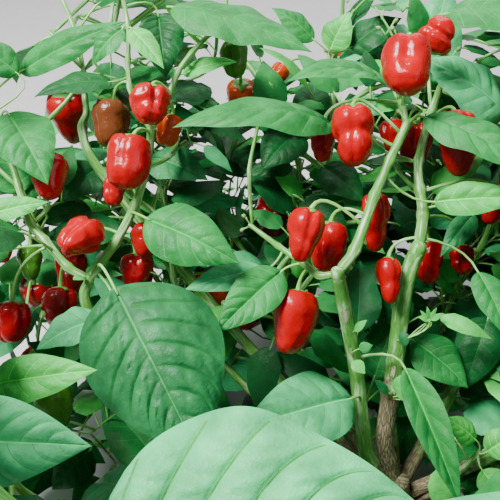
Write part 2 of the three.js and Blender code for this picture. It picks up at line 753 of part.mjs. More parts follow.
function sideOf(along, azimuth) {
  const flat = point(along.y, -along.x, 0);
  if (flat.length() < 0.05) flat.set(1, 0, 0);
  return flat.normalize().applyAxisAngle(along, radians(azimuth));
}

function growLeaf(mass, root, along, azimuth, size, random) {
  for (let attempt = 0; attempt < TRIES.leaf; attempt++) {
    const out = sideOf(along, azimuth + TRY_TURN.leaf * attempt);
    const length = LEAF_LENGTH * size * varied(LEAF_VARIES, random) * (1 - TRY_SHORTER * attempt);
    const way = out.clone().addScaledVector(along, LEAF_RISE.along).addScaledVector(UP, LEAF_RISE.up);
    way.normalize();
    const base = root.clone().addScaledVector(way, PETIOLE * size * varied(PETIOLE_VARIES, random));
    const down = way.clone().addScaledVector(UP, -between(LEAF_DROOP, random)).normalize();
    const tip = base.clone().addScaledVector(down, length);
    const leaf = {
      base,
      tip,
      up: UP.clone().addScaledVector(out, LEAF_TILT.most * (random() - LEAF_TILT.inward)).normalize(),
      wide: length * LEAF_SLENDER * varied(WIDTH_VARIES, random),
      arch: length * LEAF_ARCH,
      shares: LEAF_SHARES,
      petiole: [root.clone(), base.clone()],
    };
    const beads = leafBeads(leaf, mass);
    if (!fits(mass, beads, [base.clone().lerp(tip, 0.5), tip])) continue;
    keepBeads(beads);
    pieces[mass].leaves.push(leaf);
    return;
  }
}

function growFruit(mass, root, along, azimuth, random) {
  for (let attempt = 0; attempt < TRIES.fruit; attempt++) {
    const out = sideOf(along, azimuth + TRY_TURN.fruit * attempt);
    const size = between(FRUIT_SIZE, random);
    const top = root.clone().addScaledVector(out, between(FRUIT_OUT, random));
    top.addScaledVector(UP, -PEDICEL_DROP);
    const hang = point(FRUIT_SWAY * (random() - 0.5), FRUIT_SWAY * (random() - 0.5), -1).normalize();
    const fruit = {
      top,
      tip: top.clone().addScaledVector(hang, FRUIT_LONG * size),
      wide: FRUIT_WIDE * size,
      pedicel: [root.clone(), top.clone().addScaledVector(hang, PEDICEL_SEAT)],
    };
    const beads = fruitBeads(fruit, mass);
    if (!fits(mass, beads, [fruit.top, fruit.tip])) continue;
    keepBeads(beads);
    pieces[mass].fruits.push(fruit);
    return;
  }
}

function isFull(mass) {
  return pieces[mass].leaves.length >= (MASSES[mass].most ?? MOST_LEAVES);
}

// A node bears two leaves and sometimes a fruit, each rooted a little below it.
function dressNode(mass, node, along, turn, random) {
  if (isFull(mass)) return;
  const below = (length) => node.clone().addScaledVector(along, -length);
  growLeaf(mass, below(LEAF_BELOW_NODE), along, turn, 1, random);
  growLeaf(mass, below(2 * LEAF_BELOW_NODE), along, turn + PAIR_ANGLE, 1, random);
  if (random() < FRUIT_CHANCE) growFruit(mass, below(FRUIT_BELOW_NODE), along, turn + FRUIT_ANGLE, random);
}

// A shoot is a chain of internodes that turns a little at each node, and bears side shoots there. It stops
// where it would leave its space or meet something.
function growShoot(mass, start, along, radius, order, turn, random) {
  const path = [start.clone()];
  let way = along.clone();
  for (let k = 0; k < NODES[order - 1]; k++) {
    let found = null;
    for (let attempt = 0; attempt < TRIES.node && !found; attempt++) {
      const side = sideOf(way, turn + 180 * k + TRY_TURN.node * attempt);
      const next = turned(way, side, ZIGZAG + ZIGZAG_MORE * attempt).addScaledVector(UP, SUNWARD).normalize();
      const end = path[k].clone().addScaledVector(next, INTERNODE * varied(INTERNODE_VARIES, random));
      const beads = stemBeads([path[k], end], [radius, radius], mass, k ? 0 : ROOT_FREE);
      if (fits(mass, beads, [end])) found = { next, end };
    }
    if (!found) break;
    way = found.next;
    path.push(found.end);
  }
  if (path.length < 2) return;
  const radii = [radius, Math.max(radius * SLIMMER, SLIMMEST)];
  keepBeads(stemBeads(path, radii, mass, ROOT_FREE));
  pieces[mass].twigs.push({ way: path, radii });
  for (let k = 1; k < path.length; k++) {
    const next = path[k].clone().sub(path[k - 1]).normalize();
    const inside = path[k].clone().addScaledVector(next, -SHOOT_BELOW_NODE);
    dressNode(mass, path[k], next, turn + GOLDEN_ANGLE * k, random);
    if (k === path.length - 1) growLeaf(mass, inside, next, turn, TIP_LEAF, random);
    if (order === NODES.length || isFull(mass)) continue;
    const fork = turned(next, sideOf(next, turn + GOLDEN_ANGLE * k + 90), FORK_ANGLE);
    growShoot(mass, inside, fork, radii[1], order + 1, turn + 70 * k, random);
  }
}

// A point just inside the end of a way.
function insideTip(way) {
  const tip = way[way.length - 1].clone();
  return tip.addScaledVector(tip.clone().sub(way[way.length - 2]).normalize(), -SHOOT_BELOW_NODE);
}

// Where a mass may carry what shows: on its shoots past their slim roots, or in its stem.
function carriers(name) {
  const { twigs, heart } = pieces[name];
  if (twigs.length === 1) return [[heart, heart]];
  return twigs.slice(1).map(({ way }) => {
    const slim = (TWIG_ROOT_LONG + 2) / way[0].distanceTo(way[1]);
    return [way[0].clone().lerp(way[1], Math.min(0.8, slim)), ...way.slice(1, -1), insideTip(way)];
  });
}

// The skeleton.
limbs.trunk = { way: smoothWay(TRUNK.way), radii: TRUNK.radii, foot: UP };
for (const [name, { way, radii }] of Object.entries(BOUGHS)) limbs[name] = { way: smoothWay(way), radii };
for (const [name, limb] of Object.entries(limbs)) keepBeads(stemBeads(limb.way, limb.radii, name, 0));

// Each mass starts from a short stem just clear of its bough's tip. Its shoots start at the heart, inside
// that stem or inside the shoot that bears them.
for (const [name, { bough, shoots }] of Object.entries(MASSES)) {
  const { way: limbWay, radii } = limbs[bough];
  const tip = limbWay[limbWay.length - 1];
  const along = tip.clone().sub(limbWay[limbWay.length - 2]).normalize();
  const stem = [GAP, STEM_LENGTH].map((length) => tip.clone().addScaledVector(along, length));
  const heart = stem[1].clone().addScaledVector(along, -SHOOT_BELOW_NODE);
  const twigs = [{ way: stem, radii: [radii[1], radii[1] * STEM_TAPER] }];
  for (const shoot of shoots) {
    const start = shoot.from === undefined ? heart : insideTip(twigs[shoot.from + 1].way);
    const way = smoothWay([start, ...shoot.way]);
    twigs.push({ way, radii: shoot.radii });
    keepBeads(stemBeads(way, shoot.radii, name, ROOT_FREE));
  }
  pieces[name] = { bough, twigs, leaves: [], fruits: [], heart, along };
  const spots = twigs.slice(1).flatMap((twig) => twig.way);
  const middle = spots.reduce((sum, spot) => sum.add(spot), point(0, 0, 0)).divideScalar(spots.length || 1);
  centres.set(name, spots.length ? middle : heart.clone().addScaledVector(along, INTERNODE * 1.5));
}

// What shows.
for (const [name, { bough, at, leaf }] of Object.entries(SIDE_LEAVES)) {
  const root = nearestOn([limbs[bough].way], at);
  pieces[name] = { bough, twigs: [], leaves: [], fruits: [] };
  settle(name, leaf, [[root, root]], shownLeaf, leafBeads, pieces[name].leaves);
}
for (const [name, leaves] of Object.entries(LEAVES))
  for (const leaf of leaves) settle(name, leaf, carriers(name), shownLeaf, leafBeads, pieces[name].leaves);
for (const [name, fruits] of Object.entries(FRUITS))
  for (const fruit of fruits)
    settle(name, fruit, carriers(name), shownFruit, fruitBeads, pieces[name].fruits);

// What grows: back from the shoots that show, then all round from the heart.
Object.entries(MASSES).forEach(([name, mass], index) => {
  const random = seeded(17 + 101 * index);
  const { heart, along, twigs } = pieces[name];
  for (const { way } of twigs.slice(1))
    for (let k = SPANS; k < way.length; k += SPANS) {
      const next = way[k].clone().sub(way[k - 1]).normalize();
      const inside = way[k].clone().addScaledVector(next, -SHOOT_BELOW_NODE);
      dressNode(name, way[k], next, 200 * random(), random);
      const back = sideOf(next, 360 * random()).add(next).multiplyScalar(0.5).add(AWAY).normalize();
      growShoot(name, inside, back, SIDE_RADIUS, NODES.length, 360 * random(), random);
    }
  for (let k = 0; k < mass.grown; k++) {
    const side = sideOf(along, (360 / mass.grown) * k + 30);
    growShoot(name, heart, turned(along, side, FORK_ANGLE), SHOOT_RADIUS, 1, 90 * k, random);
  }
});

// Solids and meshes. A cut that leaves scraps keeps its largest body.
function largest(solid) {
  return solid.decompose().sort((one, other) => other.volume() - one.volume())[0];
}

function meshOf(name, solid, material) {
  const made = solid.getMesh();
  const geometry = new THREE.BufferGeometry()
    .setAttribute("position", new THREE.BufferAttribute(made.vertProperties, 3))
    .setIndex(new THREE.BufferAttribute(made.triVerts, 1));
  geometry.computeVertexNormals();
  const mesh = new THREE.Mesh(geometry, material);
  mesh.name = name;
  return mesh;
}

const barkMaterial = new THREE.MeshStandardMaterial({ color: 0x8a7f5c, roughness: 0.85, metalness: 0 });
const stemMaterial = new THREE.MeshStandardMaterial({ color: 0x7fa05a, roughness: 0.6, metalness: 0 });
const foliageMaterial = new THREE.MeshStandardMaterial({ color: 0x4f8f4f, roughness: 0.45, metalness: 0 });

const plant = new THREE.Group();
const limbRooms = [];
for (const [name, limb] of Object.entries(limbs)) {
  let solid = stemSolid(limb, LIMB_SIDES);
  for (const room of limbRooms) solid = largest(solid.subtract(room));
  limbRooms.push(stemSolid(limb, LIMB_SIDES, GAP));
  plant.add(meshOf(name, solid, name === "trunk" ? barkMaterial : stemMaterial));
}
for (const [name, { bough, twigs, leaves, fruits }] of Object.entries(pieces)) {
  const solids = [...twigs.slice(1).map(twigSolid), ...leaves.map(leafSolid), ...fruits.map(fruitSolid)];
  if (twigs.length) solids.push(stemSolid(twigs[0], LIMB_SIDES));
  const room = stemSolid(limbs[bough], LIMB_SIDES, GAP);
  plant.add(meshOf(name, largest(wasm.Manifold.union(solids).subtract(room)), foliageMaterial));
}

export default plant;
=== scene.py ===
"""Chilli pepper plant: trunk, boughs, shoots, leaves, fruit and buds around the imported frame.

The plant is grown here by the same seeded rule as its solids, in millimetres, and then carried on to finer
twigs and leaves inside the crown's bounds. Meshes are made in metres.
"""

import math

import bmesh
import bpy
import numpy as np
from bpy.props import FloatProperty, FloatVectorProperty, IntProperty, PointerProperty
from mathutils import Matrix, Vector, noise


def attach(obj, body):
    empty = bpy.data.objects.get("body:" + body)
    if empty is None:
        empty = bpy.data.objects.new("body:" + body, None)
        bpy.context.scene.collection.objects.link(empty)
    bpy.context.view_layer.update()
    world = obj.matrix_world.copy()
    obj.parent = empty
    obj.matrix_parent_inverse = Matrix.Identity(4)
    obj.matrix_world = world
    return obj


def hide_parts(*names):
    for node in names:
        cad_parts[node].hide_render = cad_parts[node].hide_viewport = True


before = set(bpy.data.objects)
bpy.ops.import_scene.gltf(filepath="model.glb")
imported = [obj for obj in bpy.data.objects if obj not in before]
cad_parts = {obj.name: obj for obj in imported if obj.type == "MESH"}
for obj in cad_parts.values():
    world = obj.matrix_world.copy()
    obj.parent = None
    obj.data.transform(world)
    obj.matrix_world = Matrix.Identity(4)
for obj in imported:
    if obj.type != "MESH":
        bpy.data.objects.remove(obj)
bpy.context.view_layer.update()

bl_info = {
    "name": "Chilli Pepper Plant",
    "version": (1, 0, 0),
    "blender": (4, 5, 0),
    "location": "View3D > Sidebar > Pepper",
    "description": "Builds a chilli pepper plant with its leaves, fruit and buds",
    "category": "Add Mesh",
}

# Sizes are in millimetres and angles in degrees, where nothing else is said. A pair that a size or share is
# drawn from by lot holds the least and how much more there may be.
MM = 0.001

# The photograph's view: square, seen from above the front of the plant.
PHOTO_SIDE = 500  # pixels
VIEW_ANGLE = 42  # degrees across the picture
VIEW_PITCH = 40  # degrees below the horizon
EYE = np.array((-135.0, -303.5, 603.0))

# Limbs and twigs, as in the solids.
GAP = 0.3
SPANS = 2
TWIG_ROOT_LONG = 6
STEM_LENGTH = 7
STEM_TAPER = 0.95

# Leaves, as in the solids.
LEAF_LENGTH = 104
LEAF_VARIES = 0.18
LEAF_SLENDER = 0.58
WIDTH_VARIES = 0.1
LEAF_ARCH = 0.09
OUTLINE_PEAK = 3.0156
OUTLINE_RISE = 0.6
OUTLINE_FALL = 1.1
PETIOLE = 30
PETIOLE_VARIES = 0.2
PETIOLE_WIDE = 2.4
PETIOLE_SWEEP = 0.45
LEAF_RISE_ALONG = 0.45
LEAF_RISE_UP = 0.25
LEAF_DROOP = (0.35, 0.4)
LEAF_TILT = 0.35
LEAF_TILT_INWARD = 0.3

# Fruit, as in the solids.
FRUIT_LONG = 46
FRUIT_WIDE = 37
FRUIT_SIZE = (0.75, 0.35)
FRUIT_OUT = (12, 10)
FRUIT_SWAY = 0.3
PEDICEL_RADII = (0.8, 1.5, 2)
PEDICEL_DROP = 12
PEDICEL_SEAT = 2
PEDICEL_ARCH_LEAST = 10
PEDICEL_ARCH_SHARE = 0.55
PEDICEL_ABOVE = 12

# How shoots grow, as in the solids.
INTERNODE = 48
INTERNODE_VARIES = 0.15
FORK_ANGLE = 34
GOLDEN_ANGLE = 137.5
PAIR_ANGLE = 165
FRUIT_ANGLE = 120
NODES = (4, 3)
ZIGZAG = 14
ZIGZAG_MORE = 12
SUNWARD = 0.12
SHOOT_RADIUS = 2.6
SIDE_RADIUS = 2
SLIMMER = 0.8
SLIMMEST = 1.6
SHOOT_BELOW_NODE = 3
LEAF_BELOW_NODE = 6
FRUIT_BELOW_NODE = 13
TIP_LEAF = 0.8
MOST_LEAVES = 11
FRUIT_CHANCE = 0.25
LEAF_TRIES = 4
FRUIT_TRIES = 3
NODE_TRIES = 5
LEAF_TRY_TURN = 47
FRUIT_TRY_TURN = 70
NODE_TRY_TURN = 75
TRY_SHORTER = 0.1
FIRST_LEAF_TURN = 200  # degrees, the most that the leaves of a shown node are turned
FIRST_SIDE = 30  # degrees round the stem to its first shoot
SHOOT_TURN = 90  # degrees from the leaves of one shoot to those of the next
FORK_TURN = 70  # the same for side shoots
FORK_ROUND = 90  # degrees from a node's leaves to its side shoot
SIDEWAYS = 0.5  # how much the side shoots of shown ones go sideways and on, besides away
AWAY = np.array((0.0, 1.0, -0.1))
MASS_MIDDLE = 1.5  # internodes from a bough's tip to the middle of a mass without shown shoots
UPRIGHT = 0.05  # a way that leans less than this has no side of its own
SLIM_MORE = 2  # past the slim root of a twig, before it carries what shows
SLIM_MOST = 0.8  # of its first span

# Room between pieces, as in the solids.
LEAF_BEAD = 4.3
LEAF_BEAD_STEP = 7
STEM_BEAD_MORE = 1
BEAD_STEP = 4
FRUIT_BEADS = ((0.25, 0.92), (0.5, 0.95), (0.78, 0.72))  # share of a fruit's length, and its width there
ROOT_FREE = 12
WIDEST_BEAD = 21
# How far what shows may slide along its line of sight to find room.
SLIDES = (0, 5, -5, 10, -10, 15, -15, 20, -20, 27, -27, 35)
LOWEST = 12
OPEN_DEPTH = 540  # where the picture shows it, nothing is grown by rule nearer than this
VEINED_DEPTH = 640  # as far as the crown's leaves are drawn with veins
PICTURE_MARGIN = 15
SPACE_MEET = 30
CROWN_MIDDLE = np.array((-25.0, 30.0, 190.0))
CROWN_REACH = np.array((385.0, 345.0, 270.0))

# Growth past the solids: short side twigs with small leaves.
FINE_SLACK = 4.1  # how far pieces may come inside each other's room
TWIGLET_STEP = 15  # along a shoot from one to the next
TWIGLET_ANGLE = 48
TWIGLET_LONG = (16, 18)
TWIGLET_SWAY = 0.4  # how much it leans round the shoot
TWIGLET_BOW = (-1.5, 3)  # height of its middle over a straight twig
TWIGLET_RADIUS = 1.1
TWIGLET_LEAVES = 4
TWIGLET_TIP = 1.5  # past the root of its last leaf
SMALL_LEAF = (0.36, 0.45)
FILLING_LEAF = (0.7, 0.4)
BUDS = 5  # clusters in a mass
ROUND = 2.3  # power of the rounder crown that finer growth keeps to
BROAD_WAVES = 0.07  # how far its outline goes in and out, as shares
FINE_WAVES = 0.05
FILL_POINTS = 14000  # places of the crown that are looked at for a void
VIEW_POINTS = 9000  # more of them, in the part of the crown that the picture shows
VIEW_DEPTHS = (542, 150)
VOID = 16  # clear distance round a void
VOID_NEAR = 14  # distances of a void from the wood that may reach it
VOID_FAR = 100
FILL_LOWEST = 26  # height above which voids are filled
FILL_LEAVES = 3
FILL_LEAF_STEP = 5
FILL_BOW = (-3, 8)
FILL_SPOTS = (0.4, 0.7, 1)  # along such a twig, where another may start
BOUGH_BARE = 3  # the first third of a bough bears no such twig
WOOD_SPOTS = 3  # places on each span of a twig
FILLER_LEAF = (0.56, 0.5)
HUNG_POINTS = 9000  # places that are looked at for more fruit
HUNG_MOST = 75
HUNG_CLEAR = 14
HUNG_NEAR = 10  # distances from the wood to the top of such a fruit
HUNG_FAR = 42
HUNG_OUTER = 0.42  # share of the crown's reach within which no more fruit hangs

# Seeds of what is drawn by lot, and how far the seeds of two masses are apart.
SEEDS = {
    "masses": 17, "finer growth": 5003, "hung fruit": 7001, "voids": 9001, "shoots": 77, "front": 311,
    "crown": 509, "tints": 613, "fruit": 701, "buds": 809,
}
SEED_STEP = 101
SEED_TIMES = 1664525
SEED_MORE = 1013904223
SEED_RANGE = 2**32

UP = np.array((0.0, 0.0, 1.0))
FOCAL = PHOTO_SIDE / 2 / math.tan(math.radians(VIEW_ANGLE / 2))
LOOK = np.array((0.0, math.cos(math.radians(VIEW_PITCH)), -math.sin(math.radians(VIEW_PITCH))))
LOOK_UP = np.array((0.0, math.sin(math.radians(VIEW_PITCH)), math.cos(math.radians(VIEW_PITCH))))


def unit(v):
    return v / math.sqrt(v @ v)


FACE_UP = unit(np.array((0.0, -0.35, 0.94)))


def point(x, y, z):
    return np.array((x, y, z), dtype=float)


def seen(u, v, depth):
    """The point of the plant that shows at pixel (u, v), at a depth along the line of sight."""
    across = (u - PHOTO_SIDE / 2) / FOCAL * depth
    above = -(v - PHOTO_SIDE / 2) / FOCAL * depth
    return EYE + LOOK * depth + LOOK_UP * above + point(across, 0, 0)


def track(*places):
    return [seen(*place) for place in places]


def limb_of(radii, placed, shown=()):
    """A limb by its radii from foot to tip, the places of its way, and where the rest of it is seen."""
    return {"way": [*(point(*place) for place in placed), *track(*shown)], "radii": radii}


def shoot_of(radii, *places, source=None):
    """A shoot by its radii and where it is seen; source is the number of the shoot that it leaves."""
    return {"way": track(*places), "radii": radii, "source": source}


def mass_of(bough, grown, *shoots, most=MOST_LEAVES):
    """A mass by its bough, how many shoots the rule starts from its stem, and the shoots that show."""
    return {"bough": bough, "grown": grown, "shoots": shoots, "most": most}


# Limbs: the trunk, then each bough from inside the trunk to where it enters its mass.
TRUNK = limb_of((16, 12, 10.8, 10.4), [(0, 0, 0), (-1, 0, 9), (-3, -1, 45), (-8, -1, 92)])
BOUGHS = {
    "right_stem": limb_of(
        (8.6, 6.6), [(-6, -1, 70)],
        [(385, 440, 547), (393, 380, 530), (405, 290, 508), (417, 252, 500)],
    ),
    "centre_stem": limb_of(
        (7.8, 5.2), [(-11, -2, 72)],
        [(366, 450, 548), (358, 380, 525), (345, 310, 490), (338, 277, 472)],
    ),
    "left_stem": limb_of(
        (7.4, 4), [(-9, 0, 66), (-110, 15, 112), (-215, 35, 165)],
        [(90, 312, 505), (88, 284, 501)],
    ),
    "back_left_stem": limb_of(
        (6.4, 2.2), [(-6, 1, 64), (-120, 75, 150)],
        [(100, 170, 552), (86, 113, 556), (84, 75, 560)],
    ),
    "front_stem": limb_of(
        (6.8, 3.2), [(-6, -2, 58), (-70, -62, 118), (-150, -135, 215), (-192, -178, 290)]
    ),
    "front_left_stem": limb_of(
        (6.4, 3), [(-5, 0, 46), (-105, -48, 98), (-215, -98, 180)],
        [(38, 503, 378), (14, 483, 362)],
    ),
    "front_right_stem": limb_of(
        (6.8, 3.4), [(-4, -1, 52), (55, -55, 112), (110, -112, 185), (130, -130, 232)]
    ),
    "far_right_stem": limb_of((6.8, 3.4), [(-5, 0, 60), (80, 8, 122), (152, 14, 185), (180, 18, 230)]),
    "back_right_stem": limb_of((6.6, 3.4), [(-6, 0, 68), (60, 80, 155), (108, 145, 232), (122, 165, 275)]),
    "back_stem": limb_of((6.6, 3.2), [(-7, 0, 74), (-20, 80, 160), (-55, 160, 235), (-66, 188, 278)]),
    "inner_stem": limb_of((6, 3.2), [(-8, 1, 62), (-60, 55, 120), (-110, 95, 185)]),
    "left_back_stem": limb_of((6, 3), [(-6, 1, 48), (-110, 55, 105), (-195, 100, 180)]),
    "low_left_stem": limb_of((5.2, 2.6), [(-3, 0, 36), (-80, -28, 70), (-150, -48, 120)]),
    "low_right_stem": limb_of((5, 2.6), [(-4, 0, 42), (30, -2, 80), (52, 0, 125)]),
    "low_front_stem": limb_of((5.2, 2.6), [(-4, -1, 44), (-8, -62, 92), (-20, -122, 160)]),
    "low_back_stem": limb_of((5.2, 2.6), [(-4, 0, 38), (30, 75, 85), (50, 130, 140)]),
}

# Masses: the bough that carries each, how many shoots the rule starts from its stem, and the shoots that
# show, counted from 0.
MASSES = {
    "foliage_top_right": mass_of(
        "right_stem",
        1,
        shoot_of(
            (4.6, 2.4), (423, 215, 505), (420, 190, 510), (419, 160, 518), (432, 110, 535), (450, 60, 552)
        ),
    ),
    "foliage_centre_right": mass_of(
        "centre_stem",
        0,
        shoot_of((4.2, 3.4), (355, 250, 474), (375, 195, 482), (390, 160, 488), (408, 122, 495)),
        shoot_of((2.8, 1.8), (403, 110, 505), (394, 84, 532), (399, 40, 548), source=0),
        shoot_of((3, 1.8), (320, 276, 476), (303, 263, 486), (278, 246, 505), (250, 225, 530)),
    ),
    "foliage_left": mass_of(
        "left_stem",
        0,
        shoot_of(
            (3.6, 2), (68, 267, 500), (45, 240, 504), (30, 222, 508), (18, 185, 513), (5, 150, 520),
            (-25, 118, 530),
        ),
        shoot_of((3.8, 3), (115, 243, 503), (135, 205, 505), (147, 165, 505), (151, 127, 505)),
        shoot_of((2.8, 1.8), (168, 98, 506), (177, 74, 508), (192, 53, 511), (210, 34, 516), source=1),
        shoot_of(
            (2.4, 1.6), (140, 110, 506), (130, 88, 506), (128, 60, 505), (128, 25, 502), (120, -12, 502),
            source=1,
        ),
        most=26,
    ),
    "foliage_back_left": mass_of(
        "back_left_stem",
        3,
        shoot_of((2.2, 1.8), (72, 22, 564), (58, -8, 568)),
    ),
    "foliage_front": mass_of("front_stem", 2),
    "foliage_front_left": mass_of(
        "front_left_stem",
        1,
        shoot_of((2.8, 2), (-12, 462, 352), (-45, 432, 348)),
    ),
    "foliage_front_right": mass_of("front_right_stem", 3),
    "foliage_far_right": mass_of("far_right_stem", 3),
    "foliage_back_right": mass_of("back_right_stem", 3),
    "foliage_back": mass_of(
        "back_stem",
        3,
        shoot_of((2.6, 1.8), (322, 110, 600), (330, 50, 604)),
    ),
    "foliage_inner": mass_of(
        "inner_stem",
        3,
        shoot_of((2.6, 1.8), (300, 190, 588), (285, 125, 596)),
        shoot_of((2.6, 1.8), (330, 250, 575), (350, 180, 580)),
    ),
    "foliage_left_back": mass_of(
        "left_back_stem",
        3,
        shoot_of((2.6, 1.8), (165, 210, 582), (150, 150, 590)),
    ),
    "foliage_low_left": mass_of("low_left_stem", 2),
    "foliage_low_right": mass_of("low_right_stem", 2),
    "foliage_low_front": mass_of("low_front_stem", 3),
    "foliage_low_back": mass_of("low_back_stem", 2),
}

# Leaves that show: base and tip of the blade, its width, how far it is rolled about its length in
# degrees, how far its middle is arched, and its tint.
LEAVES = {
    "foliage_left": (
        ((114, 287, 452), (203, 464, 412), 98, 0, 10, "blue"),
        ((146, 218, 480), (240, 264, 462), 46, 10, 6, "mature"),
        ((172, 7, 498), (312, 52, 480), 52, -10, 6, "mature"),
        ((158, 14, 530), (166, 78, 520), 38, 0, 4, "deep"),
        ((131, 28, 503), (164, 69, 492), 19, 0, 3, "young"),
        ((166, 70, 522), (98, 96, 510), 26, 10, 4, "mature"),
        ((123, 28, 512), (92, 66, 520), 26, 0, 4, "mature"),
        ((92, 273, 497), (123, 275, 490), 10, 0, 1, "mature"),
        ((183, 74, 520), (238, 62, 512), 18, 0, 4, "young"),
        ((112, 82, 528), (34, 97, 515), 30, 12, 6, "deep"),
        ((8, 113, 515), (48, 185, 486), 50, -8, 8, "mature"),
        ((-14, 215, 495), (49, 202, 498), 20, 10, 3, "young"),
        ((84, 277, 496), (73, 280, 480), 9, 0, 1, "young"),
        ((103, 318, 470), (36, 350, 452), 32, 10, 5, "pale"),
        ((20, 72, 545), (128, 21, 520), 30, 20, 6, "mature"),
        ((18, 74, 548), (-40, 40, 540), 32, 0, 6, "mature"),
    ),
    "foliage_front": (
        ((118, 527, 275), (508, 545, 265), 112, 0, 8, "pale"),
    ),
    "foliage_front_left": (
        ((-76, 440, 335), (92, 446, 338), 48, 8, 6, "pale"),
        ((-10, 385, 402), (98, 370, 396), 30, 8, 4, "young"),
    ),
    "foliage_centre_right": (
        ((332, 126, 507), (172, 128, 470), 52, 20, 16, "mature"),
        ((388, 85, 505), (286, 82, 480), 40, 20, 12, "mature"),
        ((424, 117, 485), (545, 178, 450), 42, -10, 6, "mature"),
        ((434, 202, 492), (528, 198, 470), 26, 20, 6, "young"),
        ((290, 271, 480), (230, 340, 455), 44, 0, 5, "mature"),
        ((264, 270, 487), (184, 290, 470), 26, 0, 5, "pale"),
    ),
    "foliage_inner": (
        ((302, 200, 545), (350, 242, 532), 32, 0, 4, "deep"),
        ((322, 166, 556), (364, 202, 540), 36, 0, 4, "deep"),
        ((298, 130, 568), (262, 170, 552), 42, 0, 5, "deep"),
        ((292, 166, 565), (243, 176, 555), 22, 0, 5, "deep"),
    ),
    "foliage_left_back": (
        ((150, 158, 560), (208, 180, 545), 38, 0, 5, "blue"),
        ((100, 166, 565), (58, 204, 550), 40, 0, 5, "deep"),
        ((92, 212, 560), (36, 222, 545), 34, 0, 5, "deep"),
    ),
    "foliage_back": (
        ((330, 50, 596), (350, 12, 585), 30, 0, 4, "young"),
        ((314, 40, 596), (272, 8, 588), 28, 0, 4, "mature"),
        ((350, 48, 590), (402, 18, 578), 36, 0, 5, "deep"),
    ),
    "foliage_low_right": (
        ((476, 440, 528), (446, 417, 515), 22, 0, 2, "young"),
        ((486, 452, 526), (522, 430, 512), 24, 0, 2, "young"),
        ((482, 470, 530), (508, 506, 516), 26, 0, 2, "young"),
    ),
    "foliage_top_right": (
        ((506, 116, 540), (420, 58, 535), 56, 0, 8, "pale"),
        ((446, 14, 520), (560, 24, 500), 48, -10, 8, "mature"),
        ((478, 272, 498), (507, 338, 480), 26, 0, 5, "mature"),
        ((474, 214, 525), (440, 257, 512), 20, 0, 5, "blue"),
    ),
}

# Leaves borne on a bough itself, each with its place on it.
SIDE_LEAVES = {
    "side_leaf_low": ("centre_stem", (358, 398, 530), ((352, 398, 515), (238, 430, 470), 56, 0, 6, "pale")),
    "side_leaf_curled": (
        "centre_stem", (358, 356, 516), ((405, 368, 502), (462, 507, 470), 34, 0, 10, "mature")
    ),
    "side_leaf_right": (
        "right_stem", (396, 345, 520), ((412, 340, 528), (468, 388, 515), 40, 0, 6, "mature")
    ),
    "side_leaf_slim": ("right_stem", (399, 330, 517), ((440, 317, 512), (492, 339, 500), 15, 0, 2, "young")),
}

# Fruit that show: calyx and tip, width, and ripeness; the dark tint is painted shade, a darker red for ripe
# pods in shade.
FRUITS = {
    "foliage_centre_right": (
        ((297, 293, 472), (290, 355, 466), 36, "red"),
        ((409, 42, 490), (404, 95, 480), 36, "red"),
        ((352, 110, 500), (355, 166, 494), 33, "red"),
        ((310, 212, 470), (299, 262, 464), 27, "red"),
        ((430, 50, 530), (447, 17, 522), 30, "red"),
        ((330, 225, 512), (325, 272, 506), 29, "red"),
        ((374, 196, 500), (377, 252, 506), 22, "red"),
        ((394, 122, 515), (392, 152, 512), 22, "red"),
        ((322, 130, 525), (322, 162, 520), 20, "red"),
    ),
    "foliage_left": (
        ((132, 139, 500), (123, 190, 494), 34, "red"),
        ((151, 89, 500), (149, 124, 495), 31, "red"),
        ((93, 230, 500), (64, 250, 470), 30, "red"),
        ((172, 118, 525), (164, 146, 520), 22, "orange"),
        ((112, 104, 540), (110, 147, 535), 32, "brown"),
        ((136, 257, 520), (135, 290, 512), 28, "dark"),
        ((115, 178, 510), (112, 206, 508), 18, "red"),
        ((146, 226, 540), (147, 258, 532), 26, "dark"),
        ((236, 44, 540), (234, 77, 535), 24, "green"),
        ((50, 158, 520), (50, 199, 510), 30, "red"),
        ((60, 290, 525), (59, 330, 518), 30, "dark"),
        ((12, 304, 530), (12, 343, 524), 30, "red"),
        ((30, 248, 528), (30, 281, 522), 22, "green"),
        ((2, 234, 528), (1, 263, 524), 20, "red"),
    ),
    "foliage_front_left": (
        ((53, 385, 440), (55, 430, 436), 27, "green"),
    ),
    "foliage_top_right": (
        ((456, 115, 505), (460, 176, 498), 32, "red"),
        ((388, 260, 512), (389, 304, 506), 20, "red"),
        ((428, 243, 525), (428, 284, 518), 26, "red"),
        ((416, 126, 530), (413, 168, 524), 30, "dark"),
        ((462, 247, 520), (462, 274, 515), 20, "red"),
        ((493, 203, 522), (488, 224, 518), 17, "red"),
    ),
    "foliage_left_back": (
        ((72, 250, 560), (70, 296, 552), 28, "dark"),
    ),
    "foliage_back": (
        ((283, 67, 596), (270, 86, 590), 18, "orange"),
    ),
}


# Pale scars on the skin of the stems, where they show.
SCARS = track(
    (400, 272, 494), (409, 256, 492), (404, 283, 496), (392, 372, 520), (395, 342, 510),
    (352, 352, 502), (356, 372, 510), (346, 316, 486), (337, 268, 466), (399, 312, 500),
)

# How the pieces are drawn.
LIMB_SIDES = 20
LIMB_RINGS = 9  # along a limb for each span of its way
LIMB_ROUND = 0.94  # a round limb as thick as the six-sided solid
MOSTLY = 0.8  # a way with more than this of its direction along x takes its first side from y
FOOT_LEVEL = 22  # above the ground, up to which the trunk's rings are nearly level
SCAR_SIZE = 2.1
SCAR_LONG = 0.92  # how much less its length counts than its width

